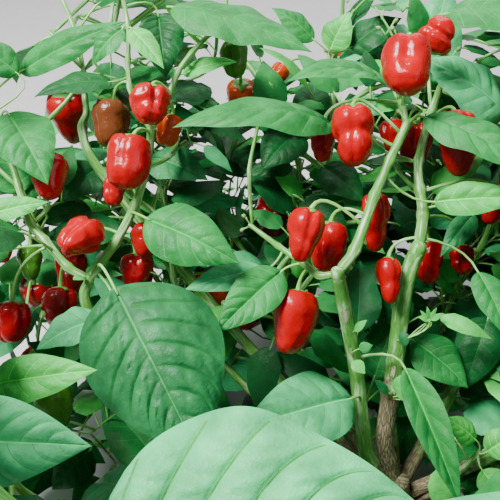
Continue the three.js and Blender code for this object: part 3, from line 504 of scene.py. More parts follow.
# Swellings of the limbs, as shares of the radius, and what goes with each.
RIBS = 5
RIB_OUT = 0.04
RIB_DEEP = 0.13
RIB_SHARP = 1.5
RIB_TWIST = 0.012  # for each millimetre
RIB_FADE = 0.6  # where the bark is old
GRAIN = 0.06
GRAIN_SIZE = 9
CRUST_SIZE = point(3.1, 3.1, 6)
SCAR_OUT = 0.1
FLARE = 0.1
FLARE_LEVEL = 30
ROOTS = 4
ROOTS_TURN = 0.6
LIMB_END = 0.4  # how far its end is rounded

# The same for shoots.
NODE_SWELL = 0.28
NODE_LONG = 3.2
SLIM_ROOT = 0.45  # as a share, at the root
SHOOT_OUT = 1.03
SHOOT_DEEP = 0.12
SHOOT_TWIST = 0.01

# Blades, pods, their caps, and buds.
RIB_COLUMN = 0.013  # a column of a blade this near its middle is the edge of the midrib
SMALL_LENGTH = 62  # up to which a leaf of the crown is drawn as a small one
LOOK_WIDTHS = (("huge", 80), ("large", 36), ("middling", 16), ("small", 0))
# The blue tint's bluish cast is a painted reflection of the sky.
# The deep tint is a darker leaf green: older leaves, and painted shade for leaves inside the crown.
# The pale tint is a brighter leaf green, painted light for leaves that are to look fully lit.
LEAF_TINTS = ("mature", "blue", "young", "pale", "deep")
CROWN_TINTS = ("mature", "mature", "mature", "blue", "deep", "deep", "pale")
SMALL_TINTS = ("mature", "mature", "young", "young", "pale", "deep")
FRUIT_TINTS = ("red", "orange", "brown", "green", "dark")
GROWN_FRUIT_TINTS = ("red", "red", "red", "dark", "orange", "green")
POD_PLACES = (0, 0.04, 0.1, 0.2, 0.32, 0.45, 0.58, 0.7, 0.82, 0.92, 1)
POD_SLIM = (0.3, 0.66, 0.88, 1, 0.98, 0.89, 0.79, 0.7, 0.57, 0.4, 0.14)
POD_FULL = (0.34, 0.68, 0.88, 0.98, 1, 0.99, 0.96, 0.9, 0.78, 0.58, 0.2)
POD_LEAN = 0.1
THREE_LOBES = 0.55  # share of the pods that have three lobes and not four
FURROW_DEEP = (0.16, 0.12)
FURROW_WIDE = 0.62
FURROW_PLACES = (0, 0.1, 0.45, 0.8, 1)
FURROW_FADE = (0.9, 1, 0.85, 0.75, 0.6)
WAIST_PLACE = (0.5, 0.12)
WAIST_TILT = 0.07
WAIST_TALL = 0.1
WRINKLES = 0.008
CRUMPLE = 0.22
CRUMPLE_FROM = 0.82  # share of the length from which a pod's end is crumpled
CRUMPLE_TALL = 0.18
SHOULDER = 0.06
SHOULDER_DIP = 1.6  # how much lower it is over a furrow
SHOULDER_WIDE = 0.85
SHOULDER_TALL = 0.1
POD_DENTS = 15
DENT_PLACE = (0.12, 0.8)
DENT_WIDE = (0.16, 0.3)
DENT_TALL = (0.05, 0.1)
DENT_DEEP = (0.03, 0.06)
CAP_SIDES = 20
CAP_WIDE = 0.27
CAP_POINTS = 5
CAP_POINTED = 0.22
# Rings of a cap: how far out and down each is, and how deep it is cut.
CAP_RINGS = ((0.34, -2.6, 0), (0.62, -2.2, 0), (0.9, -1, 0.4), (1.06, 0.8, 1), (1.02, 1.3, 1))
BUD_STALK = (6, 7)
BUD_STALK_RADII = (0.75, 0.6, 0.6, 0.9)
BUD_LONG = (3.6, 2.2)
BUD_PLACES = (0, 0.2, 0.45, 0.7, 0.9)
BUD_RADII = (0.9, 1.5, 1.75, 1.35, 0.65)
STALK_SIDES = 5
SHOWN_STALK_SIDES = 10
YOUNG_STALK_SIDES = 6
STALK_ARCH = 0.08
STALK_INTO = 0.05  # share of the blade that its stalk runs under
STALK_UNDER = 0.5
STALK_LEAST = 0.35  # radius of a stalk, and how much more for each millimetre of its blade
STALK_MORE = 0.011
STALK_PLACES = (0, 0.15, 0.5, 0.9, 1)
STALK_SHAPE = (1.25, 1, 0.85, 0.8, 0.5)
PEDICEL_PLACES = (0, 0.1, 0.7, 1)
PEDICEL_SHAPE = (1.6, 1.15, 1.4, 2.3)
PEDICEL_SIDES = 10
SHOOT_SIDES = 14
GROWN_SHOOT_SIDES = 7
TWIGLET_SHAPE = (0.8, 1.15, 1.05, 0.95, 0.8)
SHOWN_POD = (44, 32)  # columns and rows
GROWN_POD = (24, 16)
FEWEST_PAIRS = 5  # of side veins, as the swellings of a blade are spaced
RISE_AT_RIB = 3.4
FALL_AT_TIP = 3.5
FULL_TURN = 6.28  # radians, as drawn by lot
VEIN_CURVE = 1.35
SWEEP_FADE = 0.45  # how much less the last veins are swept forward
RIB_TAPER = 0.75
RIB_MOST = 0.3  # of the half of the blade
FOLD_VARIES = 0.35
CUP = (0.9, 0.5)
WAVES = (1.6, 1.6)  # along a blade's edge
FIRST_VEIN = 0.04
VEINS_REACH = 0.85
VEINS_CROWD = 1.1  # how much closer the veins are near the base
BASE_ROWS = ((0.008, 0, 0, 0, 0), (0.022, 0.2, 0.1, 0, 0))
TIP_ROWS = ((0.925, 0.5, 0.5), (0.965, 0.8, 0.6), (0.99, 0, 0))
LADDER = 10  # millimetres across a blade from one small vein to the next
SKIN_LENGTH = 30  # millimetres along a stem for each unit of its skin's place

# Leaves that show, by where their solid's base is seen: base and tip, width, roll and arch of the blade, and
# how much wider one half is and how far both are folded up.
REDRAWN = {
    (118, 527): ((98, 530, 275), (478, 556, 265), 112, 0, 8),
    (290, 271): ((282, 271, 486), (216, 333, 468), 36, -6, 5),
    (405, 368): ((405, 368, 502), (461, 507, 470), 27, 12, 12),
}
SHAPED = {(114, 287): (-0.12, -0.35), (405, 368): (0, 0.95), (118, 527): (0, -0.1)}

# How blades are drawn. Pairs of side veins; rows between veins; width of a vein's strip; columns from the
# midrib out. Then in shares of the width, or millimetres: forward sweep of the veins, width of the rib, fold,
# wave and unevenness of the blade, quilting between veins, sharpness of its creases, depth of the small
# veins, groove and keel of the midrib, twist, and how far out the veins are coloured.
LOOK_PARTS = (
    "pairs", "between", "strip", "columns", "sweep", "rib", "fold", "wave", "uneven", "quilt", "crease",
    "ripple", "groove", "keel", "twist", "vein_reach",
)
FINE_COLUMNS = (0.01, *(k / 24 for k in range(1, 25)))
LARGE_COLUMNS = (0.01, 0.08, 0.19, 0.31, 0.44, 0.57, 0.7, 0.82, 0.92, 1)
MIDDLING_COLUMNS = (0.01, 0.15, 0.35, 0.56, 0.78, 1)
LEAF_LOOKS = {
    "huge": (7, 5, 0.9, FINE_COLUMNS, 0.34, 1.6, 0.3, 0.07, 0.14, 1.75, 0.45, 0.6, 1.2, 1.2, 0.2, 0.9),
    "large": (6, 2, 0.4, LARGE_COLUMNS, 0.3, 1.4, 0.32, 0.07, 0.1, 1.15, 0.45, 0.5, 1, 1, 0.25, 0.9),
    "middling": (5, 1, 0.4, MIDDLING_COLUMNS, 0.28, 1.2, 0.36, 0.08, 0.08, 0.8, 0.6, 0, 0.6, 0.7, 0.35, 0.85),
    "veined": (5, 0, 0.6, (0.012, 0.34, 0.7, 1), 0.24, 1.3, 0.4, 0.1, 0.1, 0.9, 0.6, 0, 0.7, 0.6, 0.5, 0.75),
    "full": (0, 0, 0, (0.012, 0.54, 1), 0.2, 1.5, 0.4, 0.12, 0.1, 0.8, 0.6, 0, 0.7, 0.6, 0.5, 0),
    "small": (0, 0, 0, (0.5, 1), 0.12, 1, 0.45, 0.1, 0.08, 0, 1, 0, 0, 0, 0.5, 0),
}
PLAIN_ROWS = {
    "full": ((0.02, 0), (0.13, 0.5), (0.27, 0), (0.42, 0.5), (0.57, 0), (0.73, 0.5), (0.9, 0)),
    "small": ((0.03, 0), (0.16, 0), (0.36, 0), (0.6, 0), (0.84, 0)),
}

# Pods whose shape shows, by where they are seen: how full they are below, how deep their waist is, and how
# deep the furrows between their lobes are.
POD_SHAPES = {
    (297, 293): (0.3, 0, 0.15), (409, 42): (0.95, 0.03, 0.5), (352, 110): (0.5, 0.16, 0.6),
    (310, 212): (0.25, 0.13, 0.8), (330, 225): (0.8, 0.05, 0.9), (132, 139): (0.95, 0.02, 0.5),
    (151, 89): (0.6, 0.05, 0.9), (456, 115): (0.3, 0.03, 0.4), (374, 196): (0.35, 0.15, 1),
    (172, 118): (0.7, 0.1, 1), (112, 104): (0.6, 0.03, 1), (388, 260): (0.1, 0.12, 0.8),
    (428, 243): (0.5, 0.08, 1), (50, 158): (0.3, 0, 0.4),
}

# Small leaves that show at the nodes of the boughs, and last a few full-grown ones low down and behind the
# stems: the place that each leaf comes from, then the leaf as in the table of leaves. Then flower buds.
YOUNG = (
    ((350, 334, 498), ((354, 331, 495), (367, 320, 490), 7, 0, 1, "young")),
    ((353, 352, 503), ((359, 349, 499), (373, 345, 495), 9, 20, 1, "mature")),
    ((352, 360, 508), ((353, 361, 502), (365, 374, 496), 11, 0, 1, "young")),
    ((398, 340, 514), ((399, 340, 510), (411, 336, 506), 12, 20, 1, "blue")),
    ((392, 394, 527), ((389, 393, 520), (373, 379, 514), 8, 0, 1, "blue")),
    ((392, 392, 527), ((394, 390, 519), (408, 372, 510), 10, 0, 1, "young")),
    ((393, 396, 527), ((397, 396, 518), (414, 387, 508), 15, 20, 1, "young")),
    ((393, 399, 528), ((403, 400, 517), (430, 403, 509), 14, 20, 2, "blue")),
    ((408, 338, 506), ((428, 320, 503), (420, 310, 502), 4, 0, 0.5, "young")),
    ((408, 338, 506), ((429, 319, 503), (427, 306, 500), 4, 0, 0.5, "young")),
    ((408, 338, 506), ((430, 319, 503), (437, 307, 500), 4, 20, 0.5, "young")),
    ((408, 338, 506), ((431, 320, 503), (444, 313, 500), 5, 20, 0.5, "young")),
    ((408, 338, 506), ((429, 321, 503), (418, 317, 502), 4, 0, 0.5, "young")),
    ((91, 444, 596), ((90, 450, 598), (52, 490, 588), 42, 0, 4, "deep")),
    ((102, 483, 626), ((103, 480, 622), (72, 514, 598), 36, 0, 3, "mature")),
    ((57, 452, 652), ((56, 456, 648), (34, 498, 608), 36, 0, 4, "deep")),
    ((396, 322, 520), ((394, 326, 548), (386, 284, 575), 38, 0, 4, "deep")),
)
YOUNG_WIDEST = 16  # wider ones have veins
BUD_SPOTS = track((386, 33, 546), (403, 10, 545))
OLD_BOUGH = "right_stem"  # the one that is corky where it shows
# Heights up to which the bark is old, and from which it is young.
OLD_BOUGH_AGE = (150, 215)
BOUGH_AGE = (85, 125)
TRUNK_AGE = (95, 130)
RIB_TONE = 1.4  # how much lighter than the blade the midrib is, and most side veins
# Side veins of these tints are darker than the blade: painted shade in the grooves along the veins.
VEIN_GROOVE_SHADE = {"pale": 0.5, "blue": 0.72}

# The stage, in metres: each light with its place, what it aims at, its size and its power.
FLOOR_REACH = 30
FLOOR_COLOURS = ((0.62, 0.62, 0.6, 1), (0.7, 0.7, 0.68, 1))
LIGHTS = (
    ("key light", (-0.95, -0.1, 1.85), (-0.02, 0.0, 0.25), 0.7, 84),
    ("fill light", (1.5, -1.2, 1.3), (0, 0, 0.25), 1.6, 12),
    ("back light", (0.3, 1.6, 1.7), (0, 0, 0.3), 1.4, 22),
)
SKY_COLOUR = (0.82, 0.88, 0.95, 1)
SKY_STRENGTH = 0.3


class Seeded:
    """Numbers from 0 to 1 that follow from the seed of what is drawn, and of which one of them."""

    def __init__(self, drawn, which=0):
        self.state = SEEDS[drawn] + SEED_STEP * which

    def __call__(self):
        self.state = (self.state * SEED_TIMES + SEED_MORE) % SEED_RANGE
        return self.state / SEED_RANGE

    def varied(self, share):
        return 1 - share + 2 * share * self()

    def between(self, least, more):
        return least + more * self()

    def pick(self, names):
        return names[int(self() * len(names)) % len(names)]


def smooth_way(points, spans=SPANS):
    """A smooth way through points, with so many spans from each to the next."""
    spots = [2 * points[0] - points[1], *points, 2 * points[-1] - points[-2]]
    way = []
    for k in range((len(points) - 1) * spans + 1):
        leg = min(k // spans, len(points) - 2)
        share = k / spans - leg
        start, end = spots[leg + 1], spots[leg + 2]
        leave, enter = 0.5 * (end - spots[leg]), 0.5 * (spots[leg + 3] - start)
        curve = 2 * start - 2 * end + leave + enter
        bow = -3 * start + 3 * end - 2 * leave - enter
        way.append(start + leave * share + bow * share**2 + curve * share**3)
    return way


def radius_along(radii, share):
    place = share * (len(radii) - 1)
    k = min(math.floor(place), len(radii) - 2)
    return radii[k] + (radii[k + 1] - radii[k]) * (place - k)


def bend(start, control, end, spans=2):
    shares = [k / spans for k in range(spans + 1)]
    return [start * (1 - t) ** 2 + control * 2 * t * (1 - t) + end * t**2 for t in shares]


def length_of(v):
    return math.sqrt(v @ v)


def rotated(v, axis, degrees):
    turn = math.radians(degrees)
    return v * math.cos(turn) + np.cross(axis, v) * math.sin(turn) + axis * (axis @ v) * (1 - math.cos(turn))


def turned(along, side, degrees):
    return unit(rotated(along, side, degrees))


def side_of(along, azimuth):
    flat = point(along[1], -along[0], 0)
    if length_of(flat) < UPRIGHT:
        flat = point(1, 0, 0)
    return rotated(unit(flat), along, azimuth)


def outline(share):
    """Width of a leaf at a share of its length, for each unit of its greatest width."""
    return OUTLINE_PEAK * share**OUTLINE_RISE * (1 - share) ** OUTLINE_FALL


class Leaf:
    def __init__(self, base, tip, up, wide, arch, root, control, tint):
        self.base, self.tip, self.wide, self.arch = base, tip, wide, arch
        self.root, self.control, self.tint = root, control, tint
        self.shows = False
        self.lopsided = 0  # how much wider the half to the right of the midrib is
        self.folded = 0
        self.length = length_of(tip - base)
        self.along = (tip - base) / self.length
        self.across = unit(np.cross(self.along, up))
        self.normal = np.cross(self.across, self.along)

    def middle(self, share):
        rise = self.arch * 4 * share * (1 - share)
        return self.base + (self.tip - self.base) * share + self.normal * rise

    def petiole(self, spans=2):
        if self.control is None:
            return [self.root, self.base]
        return bend(self.root, self.control, self.base, spans)


class Fruit:
    def __init__(self, top, tip, wide, root, control, tint):
        self.top, self.tip, self.wide = top, tip, wide
        self.root, self.control, self.tint = root, control, tint
        self.key = None
        self.along = unit(tip - top)

    def pedicel(self, spans=2):
        seat = self.top + self.along * PEDICEL_SEAT
        if self.control is None:
            return [self.root, seat]
        return bend(self.root, self.control, seat, spans)


class Beads:
    """Points with a radius that stand for a piece when room is looked for."""

    def __init__(self, mass):
        self.mass, self.at, self.radius, self.woody = mass, [], [], []

    def add(self, at, radius, woody):
        self.at.append(at)
        self.radius.append(radius)
        self.woody.append(woody)

    def stem(self, way, radii, free):
        """The first part of a stem, of the length given as free, has no beads."""
        gone = 0
        for k in range(len(way) - 1):
            length = length_of(way[k + 1] - way[k])
            steps = max(1, math.floor(length / BEAD_STEP + 0.5))
            for i in range(steps):
                if gone + length * i / steps < free:
                    continue
                share = (k + i / steps) / (len(way) - 1)
                at = way[k] + (way[k + 1] - way[k]) * (i / steps)
                self.add(at, radius_along(radii, share) + STEM_BEAD_MORE, True)
            gone += length
        return self

    def leaf(self, leaf):
        self.stem(leaf.petiole(), (PETIOLE_WIDE / 2, PETIOLE_WIDE / 2), ROOT_FREE)
        rows = max(3, math.floor(leaf.length / LEAF_BEAD_STEP + 0.5))
        for row in range(1, rows + 1):
            half = leaf.wide / 2 * outline(row / rows)
            middle = leaf.middle(row / rows)
            columns = math.ceil(half / LEAF_BEAD_STEP)
            for column in range(-columns, columns + 1):
                across = half * column / columns if columns else 0
                self.add(middle + leaf.across * across, LEAF_BEAD, False)
        return self

    def fruit(self, fruit):
        self.stem(fruit.pedicel(), PEDICEL_RADII, ROOT_FREE)
        for share, wide in FRUIT_BEADS:
            at = fruit.top + (fruit.tip - fruit.top) * share
            self.add(at, fruit.wide / 2 * wide + STEM_BEAD_MORE, False)
        return self


class Room:
    """The beads of all that is there already."""

    MOST = 400000

    def __init__(self):
        self.count = 0
        self.at = np.zeros((self.MOST, 3))
        self.square = np.zeros(self.MOST)
        self.radius = np.zeros(self.MOST)
        self.woody = np.zeros(self.MOST, dtype=bool)
        self.mass = np.zeros(self.MOST, dtype=int)
        self.names = []

    def number(self, mass):
        if mass not in self.names:
            self.names.append(mass)
        return self.names.index(mass)

    def keep(self, beads):
        if not beads.at:
            return
        end = self.count + len(beads.at)
        at = np.array(beads.at)
        self.at[self.count : end] = at
        self.square[self.count : end] = (at**2).sum(axis=1)
        self.radius[self.count : end] = beads.radius
        self.woody[self.count : end] = beads.woody
        self.mass[self.count : end] = self.number(beads.mass)
        self.count = end

    def near(self, low, high):
        taken = self.at[: self.count]
        found = np.flatnonzero((taken[:, 0] > low[0]) & (taken[:, 0] < high[0]))
        taken = taken[found]
        inside = (taken[:, 1] > low[1]) & (taken[:, 1] < high[1])
        inside &= (taken[:, 2] > low[2]) & (taken[:, 2] < high[2])
        return found[inside]

    def is_free(self, beads, slack=0):
        """Nothing meets the beads, except stems of the same mass; slack lets them come inside touching."""
        if not beads.at:
            return True
        at = np.array(beads.at)
        radius = np.array(beads.radius)
        if np.any(at[:, 2] - radius < LOWEST):
            return False
        most = radius.max() + WIDEST_BEAD
        near = self.near(at.min(axis=0) - most, at.max(axis=0) + most)
        apart = (at**2).sum(axis=1)[:, None] + self.square[near][None] - 2 * at @ self.at[near].T
        reach = radius[:, None] + self.radius[near][None] - slack
        meets = apart < np.maximum(reach, 0) ** 2
        kin = np.array(beads.woody)[:, None] & self.woody[near][None]
        kin &= self.mass[near][None] == self.number(beads.mass)
        return not np.any(meets & ~kin)

    def is_void(self, place, reach):
        near = self.near(place - reach - WIDEST_BEAD, place + reach + WIDEST_BEAD)
        apart = np.sqrt(((self.at[near] - place) ** 2).sum(axis=1)) - self.radius[near]
        return not np.any(apart < reach)


def nearest_on(ways, place):
    best = None
    for way in ways:
        for start, end in zip(way, way[1:]):
            span = end - start
            long = span @ span
            share = min(1, max(0, (place - start) @ span / long)) if long else 0
            spot = start + span * share
            if best is None or length_of(spot - place) < length_of(best - place):
                best = spot
    return best


def inside_tip(way):
    return way[-1] - unit(way[-1] - way[-2]) * SHOOT_BELOW_NODE


class Mass:
    """A mass of foliage: its twigs, leaves and fruit, grown from the tip of its bough."""

    def __init__(self, name, heart=None, along=None):
        self.name, self.heart, self.along = name, heart, along
        self.twigs, self.leaves, self.fruits = [], [], []
        self.twiglets, self.tips, self.buds = [], [], []
        self.most = MASSES.get(name, {}).get("most", MOST_LEAVES)

    def is_full(self):
        return len(self.leaves) >= self.most

    def carriers(self):
        """Where the mass may carry what shows: on its shoots past their slim roots, or in its stem."""
        if len(self.twigs) == 1:
            return [[self.heart, self.heart]]
        ways = []
        for way, _ in self.twigs[1:]:
            slim = min(SLIM_MOST, (TWIG_ROOT_LONG + SLIM_MORE) / length_of(way[1] - way[0]))
            ways.append([way[0] + (way[1] - way[0]) * slim, *way[1:-1], inside_tip(way)])
        return ways


class Plant:
    """The whole plant, grown by the rule of its solids and then carried on to finer growth."""

    def __init__(self, twiglets):
        self.room = Room()
        self.limbs = {}
        self.masses = {}
        self.centres = []
        self.slack = 0
        self.finer = False  # whether growth has gone past the solids' own
        self.shared = False  # whether a mass may grow into another's space
        self.make_skeleton()
        self.place_what_shows()
        self.grow_masses()
        self.grow_finer(twiglets)

    def make_skeleton(self):
        self.limbs["trunk"] = (smooth_way(TRUNK["way"]), TRUNK["radii"])
        for name, bough in BOUGHS.items():
            self.limbs[name] = (smooth_way(bough["way"]), bough["radii"])
        for name, (way, radii) in self.limbs.items():
            self.room.keep(Beads(name).stem(way, radii, 0))
        for name, made in MASSES.items():
            limb_way, radii = self.limbs[made["bough"]]
            along = unit(limb_way[-1] - limb_way[-2])
            stem = [limb_way[-1] + along * length for length in (GAP, STEM_LENGTH)]
            mass = Mass(name, stem[1] - along * SHOOT_BELOW_NODE, along)
            mass.twigs.append((stem, (radii[1], radii[1] * STEM_TAPER)))
            for shoot in made["shoots"]:
                start = mass.heart
                if shoot["source"] is not None:
                    start = inside_tip(mass.twigs[shoot["source"] + 1][0])
                way = smooth_way([start, *shoot["way"]])
                mass.twigs.append((way, shoot["radii"]))
                self.room.keep(Beads(name).stem(way, shoot["radii"], ROOT_FREE))
            spots = [spot for way, _ in mass.twigs[1:] for spot in way]
            middle = sum(spots) / len(spots) if spots else mass.heart + along * INTERNODE * MASS_MIDDLE
            self.masses[name] = mass
            self.centres.append(middle)

    def settle(self, mass, make, ways, spec, kept, beads_of):
        """A piece that shows slides along its line of sight until it has room."""
        for slide in SLIDES:
            piece = make(spec, ways, slide)
            beads = beads_of(Beads(mass.name), piece)
            if self.room.is_free(beads):
                self.room.keep(beads)
                kept.append(piece)
                return

    def place_what_shows(self):
        for name, (bough, at, leaf) in SIDE_LEAVES.items():
            root = nearest_on([self.limbs[bough][0]], seen(*at))
            mass = Mass(name)
            self.masses[name] = mass
            self.settle(mass, shown_leaf, [[root, root]], leaf, mass.leaves, Beads.leaf)
        for name, leaves in LEAVES.items():
            mass = self.masses[name]
            for leaf in leaves:
                self.settle(mass, shown_leaf, mass.carriers(), leaf, mass.leaves, Beads.leaf)
        for name, fruits in FRUITS.items():
            mass = self.masses[name]
            for fruit in fruits:
                self.settle(mass, shown_fruit, mass.carriers(), fruit, mass.fruits, Beads.fruit)

    def fits(self, mass, beads, places):
        """Inside the crown and the mass's own space, not in front of what shows, and with room."""
        own = self.centres[list(MASSES).index(mass.name)]
        for place in places:
            if not in_crown(place) or hides_view(place):
                return False
            if self.finer and not in_round(place):
                return False
            if self.shared:
                continue
            reach = length_of(own - place) - SPACE_MEET
            if any(length_of(centre - place) < reach for centre in self.centres):
                return False
        return self.room.is_free(beads, self.slack)

    def take(self, mass, kept, piece, beads, places):
        """Keeps a piece that has room."""
        if not self.fits(mass, beads, places):
            return False
        self.room.keep(beads)
        kept.append(piece)
        return True

    def grow_leaf(self, mass, root, along, azimuth, size, random):
        for attempt in range(LEAF_TRIES):
            out = side_of(along, azimuth + LEAF_TRY_TURN * attempt)
            length = LEAF_LENGTH * size * random.varied(LEAF_VARIES) * (1 - TRY_SHORTER * attempt)
            way = unit(out + along * LEAF_RISE_ALONG + UP * LEAF_RISE_UP)
            base = root + way * (PETIOLE * size * random.varied(PETIOLE_VARIES))
            down = unit(way - UP * random.between(*LEAF_DROOP))
            tip = base + down * length
            up = unit(UP + out * (LEAF_TILT * (random() - LEAF_TILT_INWARD)))
            wide = length * LEAF_SLENDER * random.varied(WIDTH_VARIES)
            leaf = Leaf(base, tip, up, wide, length * LEAF_ARCH, root, None, None)
            beads = Beads(mass.name).leaf(leaf)
            if self.take(mass, mass.leaves, leaf, beads, [base + (tip - base) * 0.5, tip]):
                return

    def grow_fruit(self, mass, root, along, azimuth, random):
        for attempt in range(FRUIT_TRIES):
            out = side_of(along, azimuth + FRUIT_TRY_TURN * attempt)
            size = random.between(*FRUIT_SIZE)
            top = root + out * random.between(*FRUIT_OUT) - UP * PEDICEL_DROP
            tip = hung_tip(top, size, random)
            fruit = Fruit(top, tip, FRUIT_WIDE * size, root, None, None)
            if self.take(mass, mass.fruits, fruit, Beads(mass.name).fruit(fruit), [top, tip]):
                return

    def dress_node(self, mass, node, along, turn, random):
        """A node bears two leaves and sometimes a fruit, each rooted a little below it."""
        if mass.is_full():
            return
        self.grow_leaf(mass, node - along * LEAF_BELOW_NODE, along, turn, 1, random)
        self.grow_leaf(mass, node - along * 2 * LEAF_BELOW_NODE, along, turn + PAIR_ANGLE, 1, random)
        if random() < FRUIT_CHANCE:
            self.grow_fruit(mass, node - along * FRUIT_BELOW_NODE, along, turn + FRUIT_ANGLE, random)

    def find_next(self, mass, start, way, radius, turn, free, random):
        """The next internode of a shoot, turned a little from the last, where there is room for one."""
        for attempt in range(NODE_TRIES):
            side = side_of(way, turn + NODE_TRY_TURN * attempt)
            following = unit(turned(way, side, ZIGZAG + ZIGZAG_MORE * attempt) + UP * SUNWARD)
            end = start + following * (INTERNODE * random.varied(INTERNODE_VARIES))
            beads = Beads(mass.name).stem([start, end], (radius, radius), free)
            if self.fits(mass, beads, [end]):
                return following, end
        return None

    def grow_shoot(self, mass, start, along, radius, order, turn, random):
        """A chain of internodes that turns a little at each node, and bears leaves and side shoots there."""
        path = [start]
        way = along
        for k in range(NODES[order - 1]):
            found = self.find_next(mass, path[k], way, radius, turn + 180 * k, 0 if k else ROOT_FREE, random)
            if found is None:
                break
            way = found[0]
            path.append(found[1])
        if len(path) < 2:
            return
        radii = (radius, max(radius * SLIMMER, SLIMMEST))
        self.room.keep(Beads(mass.name).stem(path, radii, ROOT_FREE))
        mass.twigs.append((path, radii))
        for k in range(1, len(path)):
            following = unit(path[k] - path[k - 1])
            inside = path[k] - following * SHOOT_BELOW_NODE
            self.dress_node(mass, path[k], following, turn + GOLDEN_ANGLE * k, random)
            if k == len(path) - 1:
                self.grow_leaf(mass, inside, following, turn, TIP_LEAF, random)
            if order == len(NODES) or mass.is_full():
                continue
            fork = turned(following, side_of(following, turn + GOLDEN_ANGLE * k + FORK_ROUND), FORK_ANGLE)
            self.grow_shoot(mass, inside, fork, radii[1], order + 1, turn + FORK_TURN * k, random)

    def grow_masses(self):
        """Back from the shoots that show, then all round from the heart."""
        for index, (name, made) in enumerate(MASSES.items()):
            random = Seeded("masses", index)
            mass = self.masses[name]
            for way, _ in mass.twigs[1:]:
                for k in range(SPANS, len(way), SPANS):
                    following = unit(way[k] - way[k - 1])
                    inside = way[k] - following * SHOOT_BELOW_NODE
                    self.dress_node(mass, way[k], following, FIRST_LEAF_TURN * random(), random)
                    back = unit((side_of(following, 360 * random()) + following) * SIDEWAYS + AWAY)
                    self.grow_shoot(mass, inside, back, SIDE_RADIUS, len(NODES), 360 * random(), random)
            for k in range(made["grown"]):
                side = side_of(mass.along, 360 / made["grown"] * k + FIRST_SIDE)
                start = turned(mass.along, side, FORK_ANGLE)
                self.grow_shoot(mass, mass.heart, start, SHOOT_RADIUS, 1, SHOOT_TURN * k, random)

    def dress_twiglet(self, mass, way, along, roots, azimuth, sizes, random):
        """Small leaves on a side twig, which is kept where it bears any."""
        bare = len(mass.leaves)
        for k, root in enumerate(roots):
            size = random.between(*sizes)
            self.grow_leaf(mass, root, along, azimuth + GOLDEN_ANGLE * k, size, random)
        if len(mass.leaves) > bare:
            mass.twiglets.append(way)
            return True
        return False

    def grow_twiglet(self, mass, start, along, azimuth, random):
        """A short side twig with a fan of small leaves at its end."""
        side = side_of(along, azimuth)
        sway = side_of(along, azimuth + 90) * TWIGLET_SWAY
        way = unit(turned(along, side, TWIGLET_ANGLE) + UP * SUNWARD + sway)
        end = start + way * random.between(*TWIGLET_LONG)
        beads = Beads(mass.name).stem([start, end], (TWIGLET_RADIUS, TWIGLET_RADIUS), ROOT_FREE)
        if not self.fits(mass, beads, [end]):
            return
        self.room.keep(beads)
        middle = (start + end) / 2 + UP * random.between(*TWIGLET_BOW)
        roots = [end - way * TWIGLET_TIP] * TWIGLET_LEAVES
        if self.dress_twiglet(mass, [start, middle, end], way, roots, azimuth, SMALL_LEAF, random):
            mass.tips.append((end, way))

    def grow_finer(self, twiglets):
        """More fruit, leaves where the masses' shoots stayed bare, then twiglets all along them."""
        self.slack = FINE_SLACK
        self.finer = True
        self.hang_fruit()
        for index, name in enumerate(MASSES):
            random = Seeded("finer growth", index)
            mass = self.masses[name]
            for way, radii in mass.twigs[1:]:
                mass.tips.append((way[-1], unit(way[-1] - way[-2])))
                for start, end in zip(way, way[1:]):
                    along = unit(end - start)
                    for below in (LEAF_BELOW_NODE, 2 * LEAF_BELOW_NODE):
                        size = random.between(*FILLING_LEAF)
                        self.grow_leaf(mass, end - along * below, along, 360 * random(), size, random)
            for way, radii in mass.twigs[1:]:
                for start, end in zip(way, way[1:]):
                    along = unit(end - start)
                    count = max(1, math.floor(length_of(end - start) / TWIGLET_STEP * twiglets / 100 + 0.5))
                    for k in range(count):
                        spot = start + (end - start) * ((k + 0.5) / count)
                        self.grow_twiglet(mass, spot, along, 360 * random(), random)
            for bud in range(BUDS):
                spot, along = random.pick(mass.tips)
                mass.buds.append((spot, along, 360 * random()))
        self.fill_voids(twiglets / 100)

    def wood(self, whole):
        """Places along the twigs, and along the outer boughs where whole, with the mass of each."""
        spots, masses = [], []
        for name, mass in self.masses.items():
            ways = [way for way, _ in mass.twigs[1:]] + mass.twiglets
            if whole and name in MASSES:
                bough = self.limbs[MASSES[name]["bough"]][0]
                ways.append(bough[len(bough) // BOUGH_BARE :])
            for way in ways:
                for start, end in zip(way, way[1:]):
                    for k in range(WOOD_SPOTS):
                        spots.append(start + (end - start) * k / WOOD_SPOTS)
                        masses.append(mass)
        return spots, masses

    def hang_fruit(self):
        """Fruit in the outer crown's free places, each from the twig that is nearest."""
        random = Seeded("hung fruit")
        spots, masses = self.wood(False)
        spots = np.array(spots)
        hung = 0
        for k in range(HUNG_POINTS):
            top = crown_place(random)
            size = random.between(*FRUIT_SIZE)
            if length_of((top - CROWN_MIDDLE) / CROWN_REACH) < HUNG_OUTER:
                continue
            if not self.room.is_void(top - UP * (FRUIT_LONG / 2 * size), HUNG_CLEAR):
                continue
            apart = np.linalg.norm(spots - top - UP * PEDICEL_ABOVE, axis=1)
            nearest = int(np.argmin(apart))
            if not HUNG_NEAR < apart[nearest] < HUNG_FAR:
                continue
            tip = hung_tip(top, size, random)
            control = top + UP * max(PEDICEL_ARCH_LEAST, PEDICEL_ARCH_SHARE * apart[nearest])
            fruit = Fruit(top, tip, FRUIT_WIDE * size, spots[nearest], control, None)
            mass = masses[nearest]
            hung += self.take(mass, mass.fruits, fruit, Beads(mass.name).fruit(fruit), [top, tip])
            if hung == HUNG_MOST:
                return

